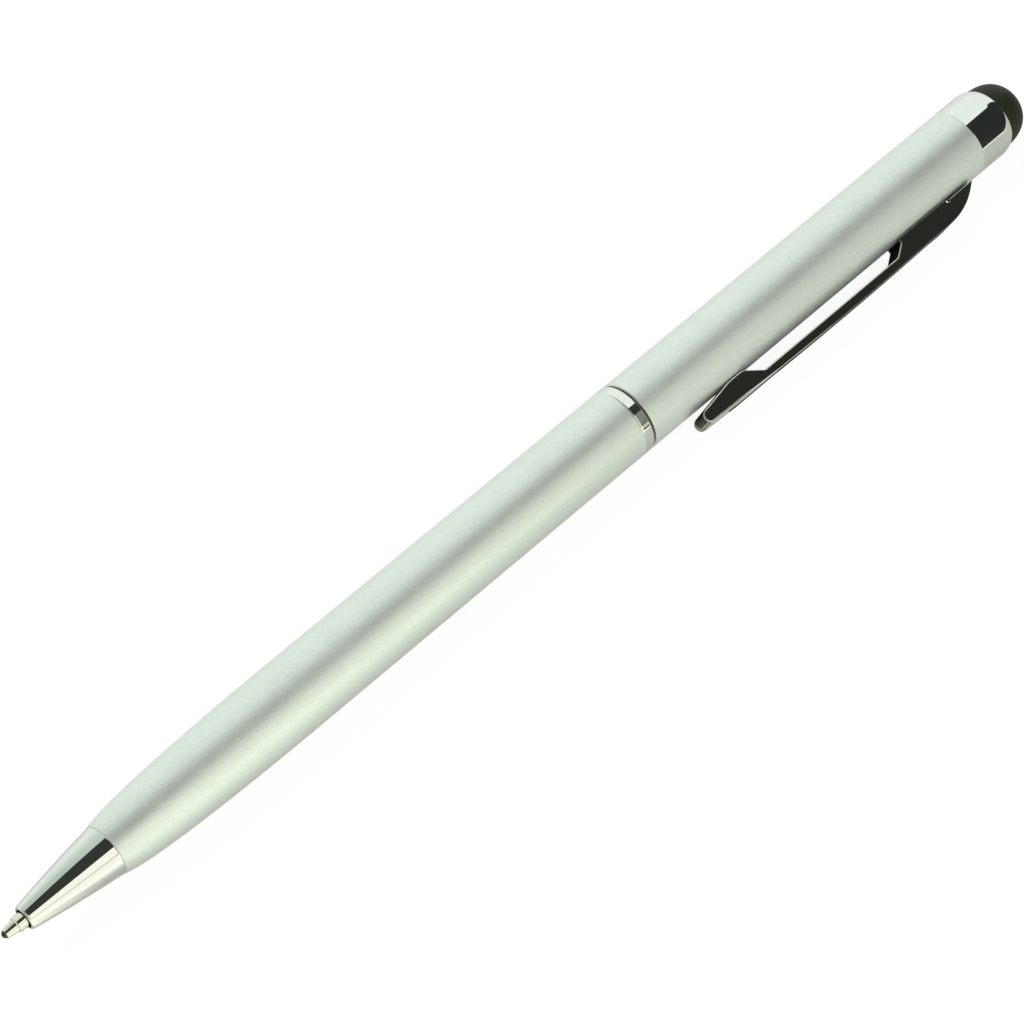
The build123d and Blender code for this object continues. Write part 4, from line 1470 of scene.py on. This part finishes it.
@dataclass
class Studio:
    """Pale floor, white surround, cards for the chrome to mirror, soft lamps and the camera."""

    # Camera at the photograph's angle, in millimetres and degrees
    lens: float = 140.625
    sensor: float = 36.0
    eye: tuple[float, float, float] = (-150.10, -153.69, 306.89)
    azimuth: float = -45.57693
    elevation: float = 54.39304
    nearest: float = 10.0
    farthest: float = 100000.0
    # Surround: plain soft light, and what mirrors show of it by direction
    surround: float = 0.62
    mirror_level: float = 1.1
    far_high: str = "B4C0B6"
    far_low: str = "E0EEDD"
    far_right: str = "EAF1E9"
    near: str = "FDFDEC"
    front_tone: str = "8A8678"
    upward: tuple[float, float] = (0.15, 0.85)
    rightward: tuple[float, float] = (0.0, 0.4)
    farward: tuple[float, float] = (-0.3, 0.2)
    frontward: tuple[float, float] = (-0.55, -0.85)
    # Floor: paper under the pen, and the tones that mirrors see of it by where they meet it: a painted
    # shadow close round the pen, bright paper away from it, and painted shade past it
    floor_gap: float = 0.0016
    floor_half: float = 3000.0
    floor_tone: str = "E9E9E6"
    shadow_share: float = 0.08
    shadow_lift: float = 0.85
    mirrored_shadow_share: float = 0.2
    # Painted shadow of the pen and painted shade past it, on the floor as mirrors see it
    mirrored_painted_shadow: str = "9A9F90"
    mirrored_away: str = "F4FAE6"
    mirrored_far_shade: str = "C9D1C5"
    beside_front: tuple[float, float] = (-6.5, -17.5)
    beside_rear: tuple[float, float] = (-40.0, -200.0)
    behind: tuple[float, float] = (6.5, 17.5)
    rearward: tuple[float, float] = (-45.0, 30.0)
    ahead: tuple[float, float] = (-46.0, -56.0)
    ahead_beside: tuple[float, float] = (-2.0, -5.0)
    # Dark card overhead, and a darker patch of it that the clip's side mirrors
    overhead_z: float = 500.0
    overhead_tone: str = "363934"
    overhead: Outline = (
        (-350, 200), (-31, 143), (276, -60), (457, -73), (900, -90),
        (900, -335), (325, -340), (60, -350), (-41, -345), (-350, -330),
    )
    patch_drop: float = 4.0
    patch_tone: str = "2A2C27"
    patch: Outline = ((290, -240), (402, -240), (402, -120), (290, -120))
    # Dark card past the dome with a round near edge, and rungs beyond that edge, from and to degrees up
    wall_x: float = 400.0
    wall_pale: str = "4A4F4A"
    wall_dark: str = "2A2E2A"
    wall_fade: tuple[float, float] = (-700.0, -450.0)
    wall_far_y: float = 70.0
    wall_shoulder: Outline = ((70, 400), (-60, 630))
    wall_radius: float = 640.0
    wall_arc: tuple[float, float] = (80.0, 1.0)
    rung_radii: tuple[float, float] = (715.0, 800.0)
    rungs: tuple[tuple[float, float, str], ...] = (
        (20.0, 60.0, "7C7D76"), (16.5, 20.0, "50514B"), (6.5, 16.5, "C8CBBE"), (1.0, 6.5, "5A5B55"),
    )
    arc_points: int = 13
    # Shade on the floor under the clip
    shade_lift: float = 0.01
    shade_tone: str = "3A3D38"
    shade: Outline = ((32, -5.0), (41, -5.3), (41, -6.4), (70, -6.4), (70, -2), (34, -2))
    # Grey bar and bright reflector beside the pen
    bar_y: float = -600.0
    bar_tone: str = "CFD2C4"
    bar: Outline = ((-300, 205), (200, 225), (200, 285), (-300, 265))
    board_y: float = -60.0
    board_x: tuple[float, float] = (-38.0, 42.0)
    board_top: float = 18.0
    board_tone: str = "F5FFE8"
    board_level: float = 1.5
    lamps: tuple[Lamp, ...] = (
        Lamp("far_lamp", (-100, 500, 600), 500, 4.0),
        Lamp("near_lamp", (200, -600, 500), 500, 3.0),
    )

    @property
    def floor_z(self) -> float:
        """The floor's height: just under the lowest point of the solids."""
        return cad_box[0][2] / MM - self.floor_gap

    def floor(self) -> None:
        """Lays the floor: pale paper that the camera sees as white, less where the pen shades it, and that
        mirrors see with a painted shadow round the pen.
        """
        made = bpy.data.materials.new("pale_paper")
        tree = empty_tree(made)
        ray = add_node(tree, "ShaderNodeLightPath").outputs
        paper = add_node(tree, "ShaderNodeBsdfDiffuse", {"Color": linear(self.floor_tone)})
        place = add_node(tree, "ShaderNodeTexCoord").outputs["Object"]
        axes = add_node(tree, "ShaderNodeSeparateXYZ", {"Vector": place}).outputs
        spans = (
            ("Y", self.beside_front), ("Y", self.beside_rear), ("Y", self.behind),
            ("X", self.rearward), ("X", self.ahead), ("Y", self.ahead_beside),
        )
        beside_front, beside_rear, behind, rearward, ahead, ahead_beside = (
            add_node(
                tree, "ShaderNodeMapRange",
                {"Value": axes[axis], "From Min": start * MM, "From Max": stop * MM},
            ).outputs["Result"]
            for axis, (start, stop) in spans
        )
        tip = add_node(tree, "ShaderNodeMath", {0: ahead, 1: ahead_beside}, operation="MULTIPLY").outputs[0]
        beside = add_node(
            tree, "ShaderNodeMix", {0: rearward, 2: beside_front, 3: beside_rear}, data_type="FLOAT"
        ).outputs[0]
        clear = add_node(tree, "ShaderNodeMath", {0: beside, 1: tip}, operation="MAXIMUM").outputs[0]
        # Painted shadow: in mirrors the floor is dark close round the pen, pales away from it, and takes
        # painted shade past it
        tone: Any = linear(self.mirrored_painted_shadow)
        for share, next_tone in ((clear, self.mirrored_away), (behind, self.mirrored_far_shade)):
            tone = add_node(
                tree, "ShaderNodeMix", {0: share, 6: tone, 7: linear(next_tone)}, data_type="RGBA"
            ).outputs[2]
        white = 1.0 - self.shadow_lift * self.shadow_share
        faces = []
        for share, glow in (
            (self.mirrored_shadow_share, {"Color": tone, "Strength": 1.0}),
            (self.shadow_share, {"Color": WHITE, "Strength": white}),
        ):
            shade = add_node(tree, "ShaderNodeBsdfDiffuse", {"Color": (share, share, share, 1.0)})
            lit = add_node(tree, "ShaderNodeEmission", glow)
            faces.append(add_node(tree, "ShaderNodeAddShader", {0: shade.outputs[0], 1: lit.outputs[0]}))
        mirrored = add_node(
            tree, "ShaderNodeMixShader",
            {0: ray["Is Glossy Ray"], 1: paper.outputs[0], 2: faces[0].outputs[0]},
        )
        seen = add_node(
            tree, "ShaderNodeMath", {0: ray["Is Camera Ray"], 1: ray["Is Transmission Ray"]},
            operation="MAXIMUM",
        ).outputs[0]
        mixed = add_node(
            tree, "ShaderNodeMixShader", {0: seen, 1: mirrored.outputs[0], 2: faces[1].outputs[0]}
        )
        add_node(tree, "ShaderNodeOutputMaterial", {"Surface": mixed.outputs[0]})
        half = self.floor_half
        corners = np.array([(-half, -half), (half, -half), (half, half), (-half, half)])
        stage_sheet("floor", np.insert(corners, Axis.Z.value, self.floor_z, axis=1), made)

    def arc(self, radius: float, start: float, stop: float) -> list[list[float]]:
        """Gives Y and Z of points on a circle round the pen's axis, by degrees up from the horizon at -Y."""
        turn = np.radians(np.linspace(start, stop, self.arc_points))
        return np.stack([-radius * np.cos(turn), radius * np.sin(turn)], axis=-1).tolist()

    def cards(self) -> None:
        """Hangs the cards that give the chrome its dark and light bands."""
        low, (left, right), (near, wide) = self.floor_z, self.board_x, self.rung_radii
        wall = (
            (-self.wall_radius, low), (self.wall_far_y, low), *self.wall_shoulder,
            *self.arc(self.wall_radius, *self.wall_arc),
        )
        board = ((left, low), (right, low), (right, self.board_top), (left, self.board_top))
        rungs = (
            (*self.arc(near, start, stop), *self.arc(wide, stop, start)) for start, stop, _ in self.rungs
        )
        hung = (
            Card("overhead_card", Axis.Z, self.overhead_z, self.overhead, self.overhead_tone),
            Card("side_card", Axis.X, self.wall_x, wall, self.wall_pale, self.wall_dark, self.wall_fade),
            *(
                Card(f"side_rung_{step}", Axis.X, self.wall_x, rung, self.rungs[step][2])
                for step, rung in enumerate(rungs)
            ),
            Card("clip_card", Axis.Z, self.overhead_z - self.patch_drop, self.patch, self.patch_tone),
            Card("clip_shade", Axis.Z, low + self.shade_lift, self.shade, self.shade_tone),
            Card("bar_card", Axis.Y, self.bar_y, self.bar, self.bar_tone),
            Card("reflector", Axis.Y, self.board_y, board, self.board_tone, level=self.board_level),
        )
        for card in hung:
            card.hang()

    def world(self) -> None:
        """Sets the surround: white to the camera, toned by direction to mirrors, soft light to the rest."""
        made = bpy.data.worlds.new("studio_surround")
        bpy.context.scene.world = made
        tree = empty_tree(made)
        ray = add_node(tree, "ShaderNodeLightPath").outputs
        way = add_node(tree, "ShaderNodeTexCoord").outputs["Generated"]
        axes = add_node(tree, "ShaderNodeSeparateXYZ", {"Vector": way}).outputs
        spans = (("Z", self.upward), ("X", self.rightward), ("Y", self.farward), ("X", self.frontward))
        upward, rightward, farward, frontward = (
            add_node(
                tree, "ShaderNodeMapRange", {"Value": axes[axis], "From Min": start, "From Max": stop}
            ).outputs["Result"]
            for axis, (start, stop) in spans
        )
        far: Any = linear(self.far_low)
        for share, next_tone in ((upward, self.far_high), (rightward, self.far_right)):
            far = add_node(
                tree, "ShaderNodeMix", {0: share, 6: far, 7: linear(next_tone)}, data_type="RGBA"
            ).outputs[2]
        tone = add_node(
            tree, "ShaderNodeMix", {0: farward, 6: linear(self.near), 7: far}, data_type="RGBA"
        ).outputs[2]
        tone = add_node(
            tree, "ShaderNodeMix", {0: frontward, 6: tone, 7: linear(self.front_tone)}, data_type="RGBA"
        ).outputs[2]
        soft = add_node(tree, "ShaderNodeBackground", {"Strength": self.surround})
        mirrored = add_node(tree, "ShaderNodeBackground", {"Color": tone, "Strength": self.mirror_level})
        white = add_node(tree, "ShaderNodeBackground", {"Color": WHITE, "Strength": 1.0})
        lit = add_node(
            tree, "ShaderNodeMixShader",
            {0: ray["Is Glossy Ray"], 1: soft.outputs[0], 2: mirrored.outputs[0]},
        )
        seen = add_node(
            tree, "ShaderNodeMath", {0: ray["Is Camera Ray"], 1: ray["Is Transmission Ray"]},
            operation="MAXIMUM",
        ).outputs[0]
        mixed = add_node(tree, "ShaderNodeMixShader", {0: seen, 1: lit.outputs[0], 2: white.outputs[0]})
        add_node(tree, "ShaderNodeOutputWorld", {"Surface": mixed.outputs[0]})

    def camera(self) -> None:
        """Sets the camera at the photograph's angle, level from side to side."""
        data = bpy.data.cameras.new("photo_camera")
        data.lens = self.lens
        data.sensor_width = self.sensor
        data.clip_start = self.nearest * MM
        data.clip_end = self.farthest * MM
        made = bpy.data.objects.new("photo_camera", data)
        swing, rise = math.radians(self.azimuth), math.radians(self.elevation)
        right = np.array([math.cos(swing), math.sin(swing), 0.0])
        forward = np.array([-math.sin(swing), math.cos(swing), 0.0])
        back = math.sin(rise) * np.array([0.0, 0.0, 1.0]) - math.cos(rise) * forward
        made.matrix_world = standing(self.eye, right, np.cross(back, right), back)
        bpy.context.scene.collection.objects.link(made)
        bpy.context.scene.camera = made

    def build(self) -> None:
        """Sets up the whole studio."""
        bpy.context.scene.view_settings.view_transform = "Standard"
        self.world()
        self.floor()
        self.cards()
        for lamp in self.lamps:
            lamp.hang()
        self.camera()


def main() -> None:
    """Builds the pen and its studio in order."""
    logging.basicConfig(level=logging.INFO, format="%(name)s: %(message)s")
    finishes = Finishes()
    for assembly in (LowerHalf, UpperHalf, PocketClip, Refill, InnerWorks):
        assembly(finishes).build()
    Studio().build()


if __name__ == "__main__":
    main()
